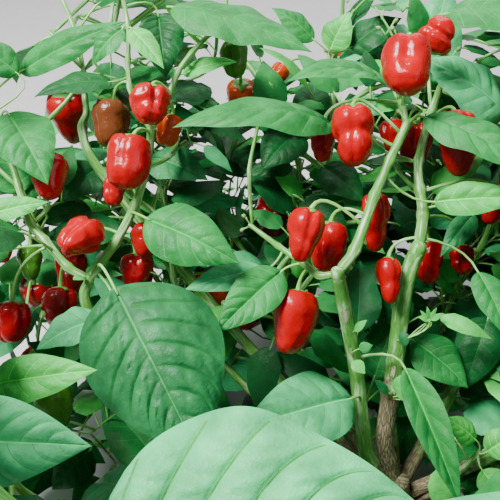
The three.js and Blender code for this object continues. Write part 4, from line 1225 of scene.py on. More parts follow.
    def fill_voids(self, share):
        """Leafy twigs into the crown's empty places, each from the wood that is nearest."""
        random = Seeded("voids")
        self.shared = True
        spots, masses = self.wood(True)
        for k in range(round((FILL_POINTS + VIEW_POINTS) * share)):
            place = crown_place(random)
            if k >= FILL_POINTS * share:
                place = seen(PHOTO_SIDE * random(), PHOTO_SIDE * random(), random.between(*VIEW_DEPTHS))
            if place[2] < FILL_LOWEST or not in_round(place) or hides_view(place):
                continue
            if not self.room.is_void(place, VOID):
                continue
            apart = np.linalg.norm(np.array(spots) - place, axis=1)
            nearest = int(np.argmin(apart))
            if not VOID_NEAR < apart[nearest] < VOID_FAR:
                continue
            self.grow_filler(masses[nearest], spots[nearest], place, random, spots, masses)

    def grow_filler(self, mass, start, end, random, spots, masses):
        way = unit(end - start)
        middle = (start + end) / 2 + UP * random.between(*FILL_BOW)
        beads = Beads(mass.name).stem([start, middle, end], (TWIGLET_RADIUS, TWIGLET_RADIUS), ROOT_FREE)
        if not self.room.is_free(beads, self.slack):
            return
        self.room.keep(beads)
        roots = [end - way * (TWIGLET_TIP + FILL_LEAF_STEP * k) for k in range(FILL_LEAVES)]
        if self.dress_twiglet(mass, [start, middle, end], way, roots, 360 * random(), FILLER_LEAF, random):
            for share in FILL_SPOTS:
                spots.append(start + (end - start) * share)
                masses.append(mass)


def crown_place(random):
    """A place by lot in the box of the crown."""
    return CROWN_MIDDLE + CROWN_REACH * np.array([2 * random() - 1 for _ in range(3)])


def hung_tip(top, size, random):
    """Where a fruit ends that hangs from its top, a little aslant."""
    hang = unit(point(FRUIT_SWAY * (random() - 0.5), FRUIT_SWAY * (random() - 0.5), -1))
    return top + hang * FRUIT_LONG * size


def picture(place):
    """The pixel that a point shows at, and its depth."""
    arm = place - EYE
    depth = arm @ LOOK
    right, down = FOCAL * arm[0] / depth, FOCAL * (arm @ LOOK_UP) / depth
    return PHOTO_SIDE / 2 + right, PHOTO_SIDE / 2 - down, depth


def in_crown(place):
    return (((place - CROWN_MIDDLE) / CROWN_REACH) ** 4).sum() < 1


def in_round(place):
    """Inside the rounder and uneven outline of the finer growth."""
    x, y, z = (place - CROWN_MIDDLE) / CROWN_REACH
    around = math.atan2(y, x)
    uneven = BROAD_WAVES * math.sin(5 * around + 2 * math.sin(3 * z))
    uneven += FINE_WAVES * math.sin(11 * around + 5 * z)
    return abs(x) ** ROUND + abs(y) ** ROUND + abs(z) ** ROUND < (1 + uneven) ** ROUND


def in_picture(place, deep):
    """Whether a point is seen in the picture and nearer than a depth."""
    u, v, depth = picture(place)
    least, most = -PICTURE_MARGIN, PHOTO_SIDE + PICTURE_MARGIN
    return least < u < most and least < v < most and depth < deep


def hides_view(place):
    """Whether something here would stand in front of what shows."""
    return in_picture(place, OPEN_DEPTH)


def shown_leaf(spec, ways, slide):
    (base_u, base_v, depth), (tip_u, tip_v, tip_depth), wide, roll, arch, tint = spec
    base, tip = seen(base_u, base_v, depth + slide), seen(tip_u, tip_v, tip_depth + slide)
    along = unit(tip - base)
    root = nearest_on(ways, base)
    control = base - along * (PETIOLE_SWEEP * length_of(root - base))
    leaf = Leaf(base, tip, rotated(FACE_UP, along, roll), wide, arch, root, control, tint)
    leaf.shows, leaf.key, leaf.slide = True, (base_u, base_v), slide
    leaf.lopsided, leaf.folded = SHAPED.get((base_u, base_v), (0, 0))
    return leaf


def redrawn(leaf):
    """A blade that shows, nearer to its real place than its solid has it."""
    if leaf.key not in REDRAWN:
        return leaf
    base, tip, wide, roll, arch = REDRAWN[leaf.key]
    made = shown_leaf((base, tip, wide, roll, arch, leaf.tint), [[leaf.root, leaf.root]], leaf.slide)
    made.lopsided, made.folded = leaf.lopsided, leaf.folded
    return made


def shown_fruit(spec, ways, slide):
    (u, v, depth), (tip_u, tip_v, tip_depth), wide, tint = spec
    top, tip = seen(u, v, depth + slide), seen(tip_u, tip_v, tip_depth + slide)
    along = unit(tip - top)
    root = nearest_on(ways, top + UP * PEDICEL_ABOVE)
    rise = max(PEDICEL_ARCH_LEAST, PEDICEL_ARCH_SHARE * length_of(root - top))
    fruit = Fruit(top, tip, wide, root, top - along * rise, tint)
    fruit.key = (u, v)
    return fruit


# Meshes of many small things, from arrays.

def ring_faces(rings, sides, under):
    """Quads between rings of points, and triangles that close both ends at a point each.

    The points are counted as the first end, the rings, the last end. From the side called under, the quads
    start a corner later, so that a blade's two skins are split along the same diagonals.
    """
    k = np.arange(rings - 1)[:, None] * sides + 1
    i = np.arange(sides)[None]
    j = (i + 1) % sides
    quads = np.stack([k + i, k + j, k + j + sides, k + i + sides], axis=2)
    quads[:, under:] = np.roll(quads[:, under:], -1, axis=2)
    i, j = i[0], j[0]
    last = (rings - 1) * sides + 1
    end = last + sides
    tris = np.concatenate(
        [
            np.stack([np.zeros(sides, dtype=int), 1 + j, 1 + i], axis=1),
            np.stack([last + i, last + j, np.full(sides, end)], axis=1),
        ]
    )
    return quads.reshape(-1, 4), tris


def linked(name, data):
    """A new object in the scene."""
    obj = bpy.data.objects.new(name, data)
    bpy.context.scene.collection.objects.link(obj)
    return obj


def turns(count):
    """Angles round a full turn."""
    return 2 * math.pi * np.arange(count) / count


class Heap:
    """Points, faces and material numbers gathered for one joined mesh, in millimetres."""

    def __init__(self):
        self.points, self.quads, self.tris = [], [], []
        self.quad_slots, self.tri_slots, self.creases, self.places = [], [], [], []
        self.count = 0

    def add_rings(self, first, rings, last, slots=0, end_slots=0, creased=None, places=None):
        """A closed form through rings of points; creased tells which points of a ring have a sharp edge.

        Places are where each point is on the skin: round it as a circle, and along it.
        """
        count, sides = rings.shape[:2]
        quads, tris = ring_faces(count, sides, creased[-1] if creased else sides)
        crease = np.zeros((count, sides), dtype=bool)
        if creased is not None:
            crease[:, creased] = True
        ends = creased is not None
        self.points += [first[None], rings.reshape(-1, 3), last[None]]
        self.creases += [np.array([ends]), crease.ravel(), np.array([ends])]
        if places is not None:
            self.places += [places[:1, 0], places.reshape(-1, 3), places[-1:, 0]]
        self.quads.append(quads + self.count)
        self.tris.append(tris + self.count)
        self.quad_slots.append(np.broadcast_to(slots, (count - 1, sides)).ravel())
        self.tri_slots.append(np.broadcast_to(end_slots, (2, sides)).ravel())
        self.count += count * sides + 2

    def piece(self, name, materials):
        quads, tris = np.concatenate(self.quads), np.concatenate(self.tris)
        corners = np.concatenate([quads.ravel(), tris.ravel()])
        sizes = np.concatenate([np.full(len(quads), 4), np.full(len(tris), 3)])
        starts = np.concatenate([[0], np.cumsum(sizes)[:-1]])
        slots = np.concatenate(self.quad_slots + self.tri_slots)
        mesh = bpy.data.meshes.new(name)
        mesh.vertices.add(self.count)
        mesh.vertices.foreach_set("co", (np.concatenate(self.points) * MM).ravel())
        mesh.loops.add(len(corners))
        mesh.loops.foreach_set("vertex_index", corners.astype(np.int32))
        mesh.polygons.add(len(starts))
        mesh.polygons.foreach_set("loop_start", starts.astype(np.int32))
        mesh.polygons.foreach_set("material_index", slots.astype(np.int32))
        mesh.polygons.foreach_set("use_smooth", np.ones(len(starts), dtype=bool))
        for material in materials:
            mesh.materials.append(material)
        mesh.update(calc_edges=True)
        creases = np.concatenate(self.creases)
        ends = np.zeros(len(mesh.edges) * 2, dtype=np.int32)
        mesh.edges.foreach_get("vertices", ends)
        ends = ends.reshape(-1, 2)
        sharp = mesh.attributes.new("sharp_edge", "BOOLEAN", "EDGE")
        sharp.data.foreach_set("value", creases[ends[:, 0]] & creases[ends[:, 1]])
        if self.places:
            layer = mesh.attributes.new("skin", "FLOAT_VECTOR", "POINT")
            layer.data.foreach_set("vector", np.concatenate(self.places).ravel())
        mesh.validate()
        return linked(name, mesh)


def frames_along(way):
    """Directions along a way, and two square to it that turn as little as they can."""
    steps = np.diff(way, axis=0)
    along = np.vstack([steps[:1], steps[1:] + steps[:-1], steps[-1:]])
    along /= np.linalg.norm(along, axis=1)[:, None]
    side = point(0, 1, 0) if abs(along[0][0]) > MOSTLY else point(1, 0, 0)
    sides = []
    for direction in along:
        side = unit(side - direction * (side @ direction))
        sides.append(side)
    sides = np.array(sides)
    return along, sides, np.cross(along, sides)


def tube(heap, way, radii, sides, rounded=0.6):
    """A stem of round sections; radii holds one radius for each point, or one for each point and side."""
    way = np.array(way)
    along, side, other = frames_along(way)
    turn = turns(sides)
    radii = np.broadcast_to(np.array(radii).reshape(len(way), -1), (len(way), sides))
    ring = side[:, None] * np.cos(turn)[None, :, None] + other[:, None] * np.sin(turn)[None, :, None]
    rings = way[:, None] + ring * radii[:, :, None]
    end = way[-1] + along[-1] * radii[-1].mean() * rounded
    places = np.empty(rings.shape)
    places[..., 0], places[..., 1] = np.cos(turn)[None], np.sin(turn)[None]
    places[..., 2] = measured(way)[:, None] / SKIN_LENGTH + way[0].sum()
    heap.add_rings(way[0] - along[0] * 0.1, rings, end, places=places)


def measured(way):
    """Length along a way up to each of its points."""
    way = np.array(way)
    return np.concatenate([[0], np.cumsum(np.linalg.norm(np.diff(way, axis=0), axis=1))])


def shoot_tube(heap, way, radii, nodes, sides, random, finer=5):
    """A shoot between its nodes: a little thicker at each, ribbed, and tapering."""
    fine = np.array(smooth_way(list(way), finer))
    place = measured(fine)
    share = place / place[-1]
    radius = radii[0] + (radii[-1] - radii[0]) * share
    for node in nodes:
        at = place[min(node * finer, len(place) - 1)]
        radius = radius * (1 + NODE_SWELL * np.exp(-(((place - at) / NODE_LONG) ** 2)))
    radius = radius * np.clip(SLIM_ROOT + (1 - SLIM_ROOT) * place / TWIG_ROOT_LONG, 0, 1)
    turn = turns(sides)
    wave = RIBS / 2 * turn[None] + 6 * random() + place[:, None] * SHOOT_TWIST
    ribs = SHOOT_OUT - SHOOT_DEEP * np.abs(np.sin(wave)) ** RIB_SHARP
    tube(heap, fine, radius[:, None] * ribs, sides)


def vein_rows(pairs, between, length, strip):
    """Rows of points along a blade, whose side veins leave the midrib by turns left and right.

    Each row has its place, its share of the way from one vein to the next on the left and on the right,
    the number of the gap that it is in, and the side on which a vein's strip starts there. On its own side
    a vein's row is at the vein, on the other it is between two.
    """
    veins = FIRST_VEIN + VEINS_REACH * (np.arange(pairs + 1) / pairs) ** VEINS_CROWD
    half = strip / 2 / length
    rows = list(BASE_ROWS)
    for k in range(pairs):
        gap = veins[k + 1] - veins[k]
        for side, start, left, right in ((-1, 0.0, 0.0, 0.5), (1, 0.5, 0.5, 0.0)):
            near = half / gap
            for off, strips in ((-near, side), (near, 0)):
                rows.append((veins[k] + gap * (start + off), left, right, k, strips))
            for i in range(between):
                here = start + 0.5 * (i + 1) / (between + 1)
                rows.append((veins[k] + gap * here, here % 1, (here + 0.5) % 1, k, 0))
    return rows + [(place, left, right, pairs, 0) for place, left, right in TIP_ROWS]


def blade(heap, leaf, look, random):
    """A closed blade of two skins: a grid over its top and back under it, with veins and quilting."""
    if look["pairs"]:
        rows = vein_rows(look["pairs"], look["between"], leaf.length, look["strip"])
    else:
        rows = [(share, part, part, k, 0) for k, (share, part) in enumerate(PLAIN_ROWS[look["kind"]])]
    row_start, left, right, gap_number, strips = (np.array(column)[:, None] for column in zip(*rows))
    over = look["columns"]
    has_rib = over[0] <= RIB_COLUMN
    top = np.array([-out for out in over[::-1]] + ([] if has_rib else [0.0]) + list(over))
    across_top = len(top)
    out = np.concatenate([top, top[-2:0:-1]])[None]
    under = np.concatenate([np.zeros(across_top, bool), np.ones(across_top - 2, bool)])[None]
    reach = np.abs(out)
    sweep = look["sweep"] * np.sin(math.pi * row_start) * (1 - SWEEP_FADE * row_start)
    place = row_start + sweep * reach**VEIN_CURVE
    half = leaf.wide / 2 * outline(np.clip(place, 1e-6, 1 - 1e-6))
    half = half * (1 + leaf.lopsided * np.sign(out))
    rib_half = np.minimum(look["rib"] / 2 * (1 - RIB_TAPER * place), RIB_MOST * half)
    is_rib = reach <= RIB_COLUMN
    aside = np.where(is_rib, np.sign(out) * rib_half, out * half)
    fold = look["fold"] * random.varied(FOLD_VARIES) + leaf.folded
    cup = look["fold"] * random.between(*CUP)
    waves = random.between(*WAVES)
    phase = np.where(out > 0, FULL_TURN * random(), FULL_TURN * random())
    height = leaf.arch * 4 * place * (1 - place)
    height = height + half * (fold * reach - cup * reach**2)
    height = height + half * look["wave"] * reach**3 * np.sin(2 * math.pi * waves * place + phase)
    uneven = np.sin(4.1 * place + FULL_TURN * random()) * np.sin(2.4 * out + FULL_TURN * random())
    height = height + look["uneven"] * half * uneven * (1 - place)
    gap = leaf.length / max(look["pairs"], FEWEST_PAIRS)
    part = np.where(out < 0, left, right)
    strong = 0.8 + 0.4 * np.sin(gap_number * 12.9 + np.sign(out) * 3.7 + FULL_TURN * random())
    ladder = math.pi * np.abs(aside) / LADDER + gap_number * 5.1 + np.sign(out) + 1.3 * np.sin(3 * part)
    ripple = 1 - look["ripple"] * (1 - np.abs(np.sin(ladder)) ** 0.5)
    swell = np.sin(math.pi * part) ** look["crease"] * (1 - reach**4) * np.minimum(1, reach * RISE_AT_RIB)
    at_tip = np.minimum(1, FALL_AT_TIP * (1 - place))
    height = height + look["quilt"] * gap * swell * strong * ripple * at_tip
    height = height - np.where(is_rib, look["groove"] * (1 - place), 0)
    thick = look["thick"] + np.where(is_rib, look["keel"] * (1 - place), 0)
    height = height - np.where(under, thick, 0)
    twist = look["twist"] * (random() - 0.5) * (place - 0.4)
    side = aside * np.cos(twist)
    height = height + aside * np.sin(twist)
    points = (
        leaf.base
        + leaf.along * (leaf.length * place)[..., None]
        + leaf.across * side[..., None]
        + leaf.normal * height[..., None]
    )
    sides = points.shape[1]
    tint, vein, rib, underside = look["slots"]
    slots = np.full((len(rows) - 1, sides), tint)
    slots[:, across_top - 1 :] = underside
    if look["pairs"]:
        beside = (top[1:] + top[:-1]) / 2
        for direction in (-1, 1):
            wide = np.flatnonzero((beside * direction > 0) & (np.abs(beside) < look["vein_reach"]))
            starts = np.flatnonzero(strips[:-1, 0] == direction)
            slots[np.ix_(starts, wide)] = vein
    if has_rib:
        slots[:, (across_top - 2) // 2] = rib
    ends = np.full((2, sides), tint)
    ends[:, across_top - 1 :] = underside
    heap.add_rings(leaf.base + leaf.normal * 0.1, points, leaf.tip, slots, ends, [0, across_top - 1])


def petiole(heap, leaf, sides):
    way = leaf.petiole(5)
    if leaf.control is None:
        sag = UP * (STALK_ARCH * length_of(leaf.base - leaf.root))
        way = bend(leaf.root, (leaf.root + leaf.base) / 2 + sag, leaf.base, 3)
    way = list(way) + [leaf.middle(STALK_INTO) - leaf.normal * STALK_UNDER]
    wide = min(PETIOLE_WIDE / 2, STALK_LEAST + leaf.length * STALK_MORE)
    radii = np.interp(np.linspace(0, 1, len(way)), STALK_PLACES, STALK_SHAPE) * wide
    tube(heap, way, radii, sides)


def round_axis(axis, turn):
    """Two directions square to an axis, and directions from it at angles."""
    side = unit(np.cross(axis, point(0.3, 1, 0.2)))
    other = np.cross(axis, side)
    return side, other, side * np.cos(turn)[:, None] + other * np.sin(turn)[:, None]


def bump(off, wide):
    """A soft swelling round an offset of 0."""
    return np.exp(-((off / wide) ** 2))


def folded_turn(turn):
    """An angle as it is seen from 0, at most half a turn either way."""
    return (turn + math.pi) % (2 * math.pi) - math.pi


def fruit_body(heap, fruit, slot, random, columns, rows):
    """A lobed and wrinkled pod with broad shoulders that narrows to a blunt, crumpled end."""
    down = np.linspace(0, 1, rows + 2)[1:-1]
    down = (0.45 * down + 0.55 * (1 - np.cos(math.pi * down)) / 2)[:, None]
    turn = turns(columns)[None]
    full, waist, lobed = POD_SHAPES.get(fruit.key, (random(), random.between(0, 0.16), 1))
    shape = np.interp(down, POD_PLACES, POD_SLIM) * (1 - full) + np.interp(down, POD_PLACES, POD_FULL) * full
    lobes = 3 if random() < THREE_LOBES else 4
    start, drift = FULL_TURN * random(), 1.2 * (random() - 0.5)
    wave = lobes * turn + start + drift * down
    to_furrow = folded_turn(wave)
    deep = random.between(*FURROW_DEEP) * lobed
    fade = np.interp(down, FURROW_PLACES, FURROW_FADE)
    uneven = 1 + 0.45 * np.sin(1.7 * wave / lobes + 5 * down + start)
    relief = -deep * fade * uneven * bump(to_furrow, FURROW_WIDE)
    level = random.between(*WAIST_PLACE) + WAIST_TILT * np.cos(turn + FULL_TURN * random())
    relief = relief - waist * bump(down - level, WAIST_TALL)
    relief = relief + 0.07 * np.cos(turn - FULL_TURN * random()) * np.sin(4 * down + FULL_TURN * random())
    for k in range(POD_DENTS):
        at, height = FULL_TURN * random(), random.between(*DENT_PLACE)
        wide, tall = random.between(*DENT_WIDE), random.between(*DENT_TALL)
        off = folded_turn(turn - at)
        dent = random.between(*DENT_DEEP) * (-1 if k % 3 else 0.7)
        relief = relief + dent * np.exp(-((off / wide) ** 2) - ((down - height) / tall) ** 2)
    relief = relief + WRINKLES * np.sin(11 * turn + 5 * np.sin(7 * down + start))
    at_end = np.clip((down - CRUMPLE_FROM) / CRUMPLE_TALL, 0, 1)
    crumple = CRUMPLE * lobed * np.cos(wave + math.pi) * at_end
    radius = fruit.wide / 2 * shape * (1 + relief + crumple)
    long = length_of(fruit.tip - fruit.top)
    axis = fruit.along
    side, other, ring = round_axis(axis, turn[0])
    lean = side * (POD_LEAN * long * (random() - 0.5)) + other * (POD_LEAN * long * (random() - 0.5))
    line = fruit.top + axis * (long * down)[..., None] + lean * (down**2)[..., None]
    rings = line + ring[None] * radius[..., None]
    dip = 1 - SHOULDER_DIP * lobed * bump(to_furrow, SHOULDER_WIDE)
    shoulder = SHOULDER * long * dip * bump(down - 0.05, SHOULDER_TALL)
    rings = rings - axis * shoulder[..., None]
    first = fruit.top + axis * (0.05 * long)
    last = fruit.tip + lean - axis * (0.03 * long)
    heap.add_rings(first, rings, last, slot, slot)


def calyx(heap, fruit, random):
    """A green cap with five blunt points that grips the top of a pod."""
    turn = turns(CAP_SIDES)
    start = FULL_TURN * random()
    wide = fruit.wide * CAP_WIDE
    axis = fruit.along
    ring = round_axis(axis, turn)[2]
    points = 1 + CAP_POINTED * np.cos(CAP_POINTS * turn + start)
    rings = []
    for out, down, cut in CAP_RINGS:
        lobe = (points - 1) * cut
        radius = wide * out * (1 + lobe)
        rings.append(fruit.top + axis * (down + 2.4 * lobe)[:, None] + ring * radius[:, None])
    rings.append(fruit.top + axis * 2.2 + ring * (wide * 0.6))
    heap.add_rings(fruit.top - axis * 2.7, np.array(rings), fruit.top + axis * 2.4)


def bud_cluster(heaps, spot, along, azimuth, random):
    """Two or three flower buds on thin stalks."""
    stalks, buds = heaps
    for k in range(3):
        side = side_of(along, azimuth + 120 * k)
        way = unit(side * 0.8 + along * 0.5 + UP * 0.3)
        root = spot - along * 1.5
        long = random.between(*BUD_STALK)
        head = root + way * long
        tip = head + unit(way - UP * 0.5) * random.between(*BUD_LONG)
        tube(stalks, bend(root, root + way * long * 0.6, head, 3), BUD_STALK_RADII, 6)
        line = [head + (tip - head) * share for share in BUD_PLACES]
        tube(buds, line, BUD_RADII, 8)


# Materials. Shared effects are node groups that put out a colour, a roughness and a height.
SKIN_OUTPUTS = {"Color": "NodeSocketColor", "Roughness": "NodeSocketFloat", "Height": "NodeSocketFloat"}
WHITE = (1, 1, 1, 1)
NET_TONE = (0.62, 0.66, 0.6, 1)
GREEN_SHADE = (0.45, 0.62, 0.42, 1)
CORK_SHADE = (0.42, 0.42, 0.34, 1)
CORK_WORN = (0.42, 0.38, 0.3, 1)
SCAR_RIM = (0.06, 0.07, 0.03, 1)
SCAR_FACE = (0.66, 0.6, 0.36, 1)


def new_group(name, inputs):
    """A group with a skin's outputs; what kind an input is follows from its default."""
    group = bpy.data.node_groups.new(name, "ShaderNodeTree")
    for label, default in inputs.items():
        kind = {4: "NodeSocketColor", 3: "NodeSocketVector"}.get(np.size(default), "NodeSocketFloat")
        socket = group.interface.new_socket(label, in_out="INPUT", socket_type=kind)
        socket.default_value = default
    for label, kind in SKIN_OUTPUTS.items():
        group.interface.new_socket(label, in_out="OUTPUT", socket_type=kind)
    return group, group.nodes.new("NodeGroupInput").outputs, group.nodes.new("NodeGroupOutput")


def put_out(group, out, *values):
    for label, value in zip(SKIN_OUTPUTS, values):
        group.links.new(value, out.inputs[label])
    return group


def feed(tree, socket, value):
    """Links a socket to another node's output, or sets its value."""
    if isinstance(value, bpy.types.NodeSocket):
        tree.links.new(value, socket)
    else:
        socket.default_value = value


def node(tree, kind, links=None, **values):
    """A node with its settings and inputs."""
    made = tree.nodes.new(kind)
    for key, value in values.items():
        setattr(made, key, value)
    for key, value in (links or {}).items():
        feed(tree, made.inputs[key], value)
    return made


def ramp(tree, fac, *stops):
    """A mask that runs from one value to another over the given range."""
    low, high, least, most = stops
    links = {"Value": fac, "From Min": low, "From Max": high, "To Min": least, "To Max": most}
    return node(tree, "ShaderNodeMapRange", links, clamp=True).outputs["Result"]


def mixed(tree, fac, one, other, blend="MIX"):
    links = {0: fac, 6: one, 7: other}
    return node(tree, "ShaderNodeMix", links, data_type="RGBA", blend_type=blend).outputs[2]


def summed(tree, one, other, operation="ADD"):
    return node(tree, "ShaderNodeMath", {0: one, 1: other}, operation=operation).outputs[0]


def times(tree, one, other):
    return summed(tree, one, other, "MULTIPLY")


def clouds(tree, place, scale, detail, rough=0.5, output="Fac"):
    links = {"Vector": place, "Scale": scale, "Detail": detail, "Roughness": rough}
    return node(tree, "ShaderNodeTexNoise", links).outputs[output]


def cell_edges(tree, place, scale):
    """How far a place is from the edge of its cell."""
    links = {"Vector": place, "Scale": scale}
    return node(tree, "ShaderNodeTexVoronoi", links, feature="DISTANCE_TO_EDGE").outputs["Distance"]


def skin_group():
    """Living skin: soft patches of a second tone, puckers, and a fine raised net of cells."""
    inputs = {
        "Color": (0.1, 0.3, 0.1, 1), "Patch Color": (0.05, 0.2, 0.05, 1), "Patch Scale": 45,
        "Pucker Scale": 130, "Pucker": 2.6, "Cell Scale": 300, "Net": 0.3, "Roughness": 0.4,
    }
    group, given, out = new_group("Plant Skin", inputs)
    place = node(group, "ShaderNodeTexCoord").outputs["Object"]
    patch = ramp(group, clouds(group, place, given["Patch Scale"], 4, 0.55), 0.32, 0.68, 0, 1)
    colour = mixed(group, patch, given["Color"], given["Patch Color"])
    net = ramp(group, cell_edges(group, place, given["Cell Scale"]), 0, 0.2, 0, 1)
    lines = mixed(group, given["Net"], WHITE, NET_TONE)
    lines = mixed(group, net, lines, WHITE)
    colour = mixed(group, 1, colour, lines, "MULTIPLY")
    fine = clouds(group, place, 900, 2)
    pucker = clouds(group, place, given["Pucker Scale"], 2, 0.45)
    height = summed(group, times(group, net, 0.1), times(group, fine, 0.05))
    height = summed(group, height, times(group, pucker, given["Pucker"]))
    rough = summed(group, given["Roughness"], ramp(group, fine, 0.3, 0.7, -0.05, 0.07))
    rough = summed(group, rough, times(group, patch, 0.06))
    return put_out(group, out, colour, rough, height)


def stem_group():
    """Stem skin: green with pale ribs, lightened as painted highlight streaks, and streaks where young;
    grey-brown cork with cracks where old.
    """
    inputs = {
        "Place": (0, 0, 0), "Green": (0.2, 0.35, 0.1, 1), "Rib_And_Highlight": (0.4, 0.55, 0.25, 1),
        "Cork": (0.25, 0.2, 0.12, 1), "Age": 0, "Scar": 0,
    }
    group, given, out = new_group("Stem Skin", inputs)
    skin = given["Place"]
    place = node(group, "ShaderNodeTexCoord").outputs["Object"]
    streak = clouds(group, skin, 3.2, 5, 0.62)
    rib = clouds(group, skin, 1.35, 3)
    patch = clouds(group, place, 95, 4, 0.6)
    bent = mixed(group, 0.12, skin, clouds(group, skin, 3.2, 5, 0.62, "Color"))
    long = node(group, "ShaderNodeMapping", {"Vector": bent, "Scale": (1, 1, 0.8)}).outputs["Vector"]
    cracks = ramp(group, cell_edges(group, long, 4.6), 0, 0.22, 0, 1)
    dark_green = mixed(group, 1, given["Green"], GREEN_SHADE, "MULTIPLY")
    green = mixed(group, ramp(group, streak, 0.38, 0.62, 0, 0.8), given["Green"], dark_green)
    # Pale ribs: the stem's own pale ribs, lightened further as painted highlight streaks.
    green = mixed(group, ramp(group, rib, 0.5, 0.66, 0, 0.85), green, given["Rib_And_Highlight"])
    dark_cork = mixed(group, 1, given["Cork"], CORK_SHADE, "MULTIPLY")
    pale_cork = mixed(group, ramp(group, patch, 0.45, 0.7, 0, 0.5), given["Cork"], CORK_WORN)
    cork = mixed(group, cracks, dark_cork, pale_cork)
    age = summed(group, given["Age"], ramp(group, patch, 0.3, 0.7, -0.35, 0.35))
    age = ramp(group, age, 0.35, 0.65, 0, 1)
    colour = mixed(group, age, green, cork)
    scar = times(group, given["Scar"], ramp(group, streak, 0.38, 0.6, 0.1, 1.5))
    colour = mixed(group, ramp(group, scar, 0.12, 0.3, 0, 0.8), colour, SCAR_RIM)
    colour = mixed(group, ramp(group, scar, 0.3, 0.5, 0, 1), colour, SCAR_FACE)
    crust = summed(group, times(group, cracks, 0.8), times(group, streak, 0.6))
    height = summed(group, times(group, age, crust), times(group, streak, 0.3))
    rough = summed(group, ramp(group, age, 0, 1, 0.33, 0.8), ramp(group, streak, 0.3, 0.7, -0.05, 0.1))
    return put_out(group, out, colour, rough, height)


def the_group(name, build):
    return bpy.data.node_groups.get(name) or build()


def finish_material(name, group, inputs, bump, depth, constants):
    """A material whose colour, roughness and bump come from a shared group, with its constants."""
    known = bpy.data.materials.get(name)
    if known:
        return known
    material = bpy.data.materials.new(name)
    material.use_nodes = True
    tree = material.node_tree
    shader = tree.nodes["Principled BSDF"]
    skin = node(tree, "ShaderNodeGroup", node_tree=group)
    for key, value in inputs.items():
        if isinstance(value, str):
            read = node(tree, "ShaderNodeAttribute", attribute_name=value)
            output = read.outputs["Vector" if key == "Place" else "Fac"]
            tree.links.new(output, skin.inputs[key])
        else:
            skin.inputs[key].default_value = value
    links = {"Strength": bump, "Distance": depth, "Height": skin.outputs["Height"]}
    relief = node(tree, "ShaderNodeBump", links)
    tree.links.new(skin.outputs["Color"], shader.inputs["Base Color"])
    tree.links.new(skin.outputs["Roughness"], shader.inputs["Roughness"])
    tree.links.new(relief.outputs["Normal"], shader.inputs["Normal"])
    for key, value in constants.items():
        shader.inputs[key].default_value = value
    return material


def toned(colour, share, warmer=0.0):
    return (colour[0] * (share + warmer), colour[1] * share, colour[2] * (share - warmer), 1)


def leaf_materials(settings):
    """For each tint a blade, a vein and a midrib material, and last the leaves' underside."""
    group = the_group("Plant Skin", skin_group)
    made = []
    constants = {"Specular IOR Level": settings.leaf_sheen}
    for tint in LEAF_TINTS:
        colour = tuple(getattr(settings, f"leaf_{tint}"))
        # Veins of the pale and blue tints are darker than their blade: painted shade in their grooves.
        vein = VEIN_GROOVE_SHADE.get(tint, RIB_TONE)
        tones = ("blade", 1.0, 0.55, 0.0), ("vein", vein, vein * 0.85, 0.2), ("midrib", RIB_TONE, 1.2, 0.2)
        for part, face, patch, warmer in tones:
            inputs = {
                "Color": toned(colour, face, warmer),
                "Patch Color": toned(colour, patch, warmer),
                "Cell Scale": 420,
                "Pucker": 1.3,
                "Net": 0.12,
                "Roughness": settings.leaf_roughness,
            }
            made.append(finish_material(f"leaf {tint} {part}", group, inputs, 0.8, 0.001, constants))
    under = tuple(settings.leaf_under)
    inputs = {"Color": toned(under, 1), "Patch Color": toned(under, 0.75), "Roughness": 0.6}
    made.append(finish_material("leaf underside", group, inputs, 0.8, 0.001, {}))
    return made


def fruit_materials(settings):
    group = the_group("Plant Skin", skin_group)
    made = []
    # The dark tint is painted shade: a darker red for ripe pods in shade.
    for ripeness_and_shade in FRUIT_TINTS:
        colour = tuple(getattr(settings, f"fruit_{ripeness_and_shade}"))
        inputs = {
            "Color": toned(colour, 1),
            "Patch Color": toned(colour, 0.66),
            "Patch Scale": 30,
            "Pucker Scale": 170,
            "Pucker": 0.6,
            "Net": 0.05,
            "Roughness": settings.fruit_roughness,
        }
        constants = {"Coat Weight": 0.15, "Coat Roughness": 0.07, "Specular IOR Level": 0.3}
        made.append(finish_material(f"{ripeness_and_shade} fruit skin", group, inputs, 0.6, 0.001, constants))
    return made


def stem_materials(settings):
    """Bark of the limbs, green skin of the shoots, and the paler skin of stalks."""
    group = the_group("Stem Skin", stem_group)
    inputs = {
        "Place": "skin",
        "Green": toned(settings.stem_green, 1),
        "Rib_And_Highlight": toned(settings.stem_rib_and_highlight, 1),
        "Cork": toned(settings.stem_cork, 1),
    }
    limbs = dict(inputs, Age="age", Scar="scar")
    bark = finish_material("stem bark", group, limbs, 0.7, 0.0012, {})
    shoot = finish_material("green shoot", group, inputs, 0.4, 0.0005, {})
    pale = dict(inputs, Green=toned(settings.stem_green, 1.5, 0.15), Rib_And_Highlight=toned(settings.stem_rib_and_highlight, 1.2))
    stalk = finish_material("pale leaf stalk", group, pale, 0.3, 0.0004, {})
    return bark, shoot, stalk


# Limbs, in bmesh.

def ring_edges(ring):
    """The edges that join a ring's neighbours."""
    return [next(e for e in v.link_edges if e.other_vert(v) is w) for v, w in zip(ring, ring[1:] + ring[:1])]


def drawn_on(bm, ring):
    """A new ring extruded from the last one, with its points in the same order."""
    geometry = bmesh.ops.extrude_edge_only(bm, edges=ring_edges(ring))["geom"]
    new = {v for v in geometry if isinstance(v, bmesh.types.BMVert)}
    return [next(e.other_vert(v) for e in v.link_edges if e.other_vert(v) in new) for v in ring]


def scar_at(off, along):
    """How much of a scar is left at an offset from it; it is longer along the stem."""
    long = off @ along
    return math.exp(-(off @ off - SCAR_LONG * long**2) / SCAR_SIZE**2)


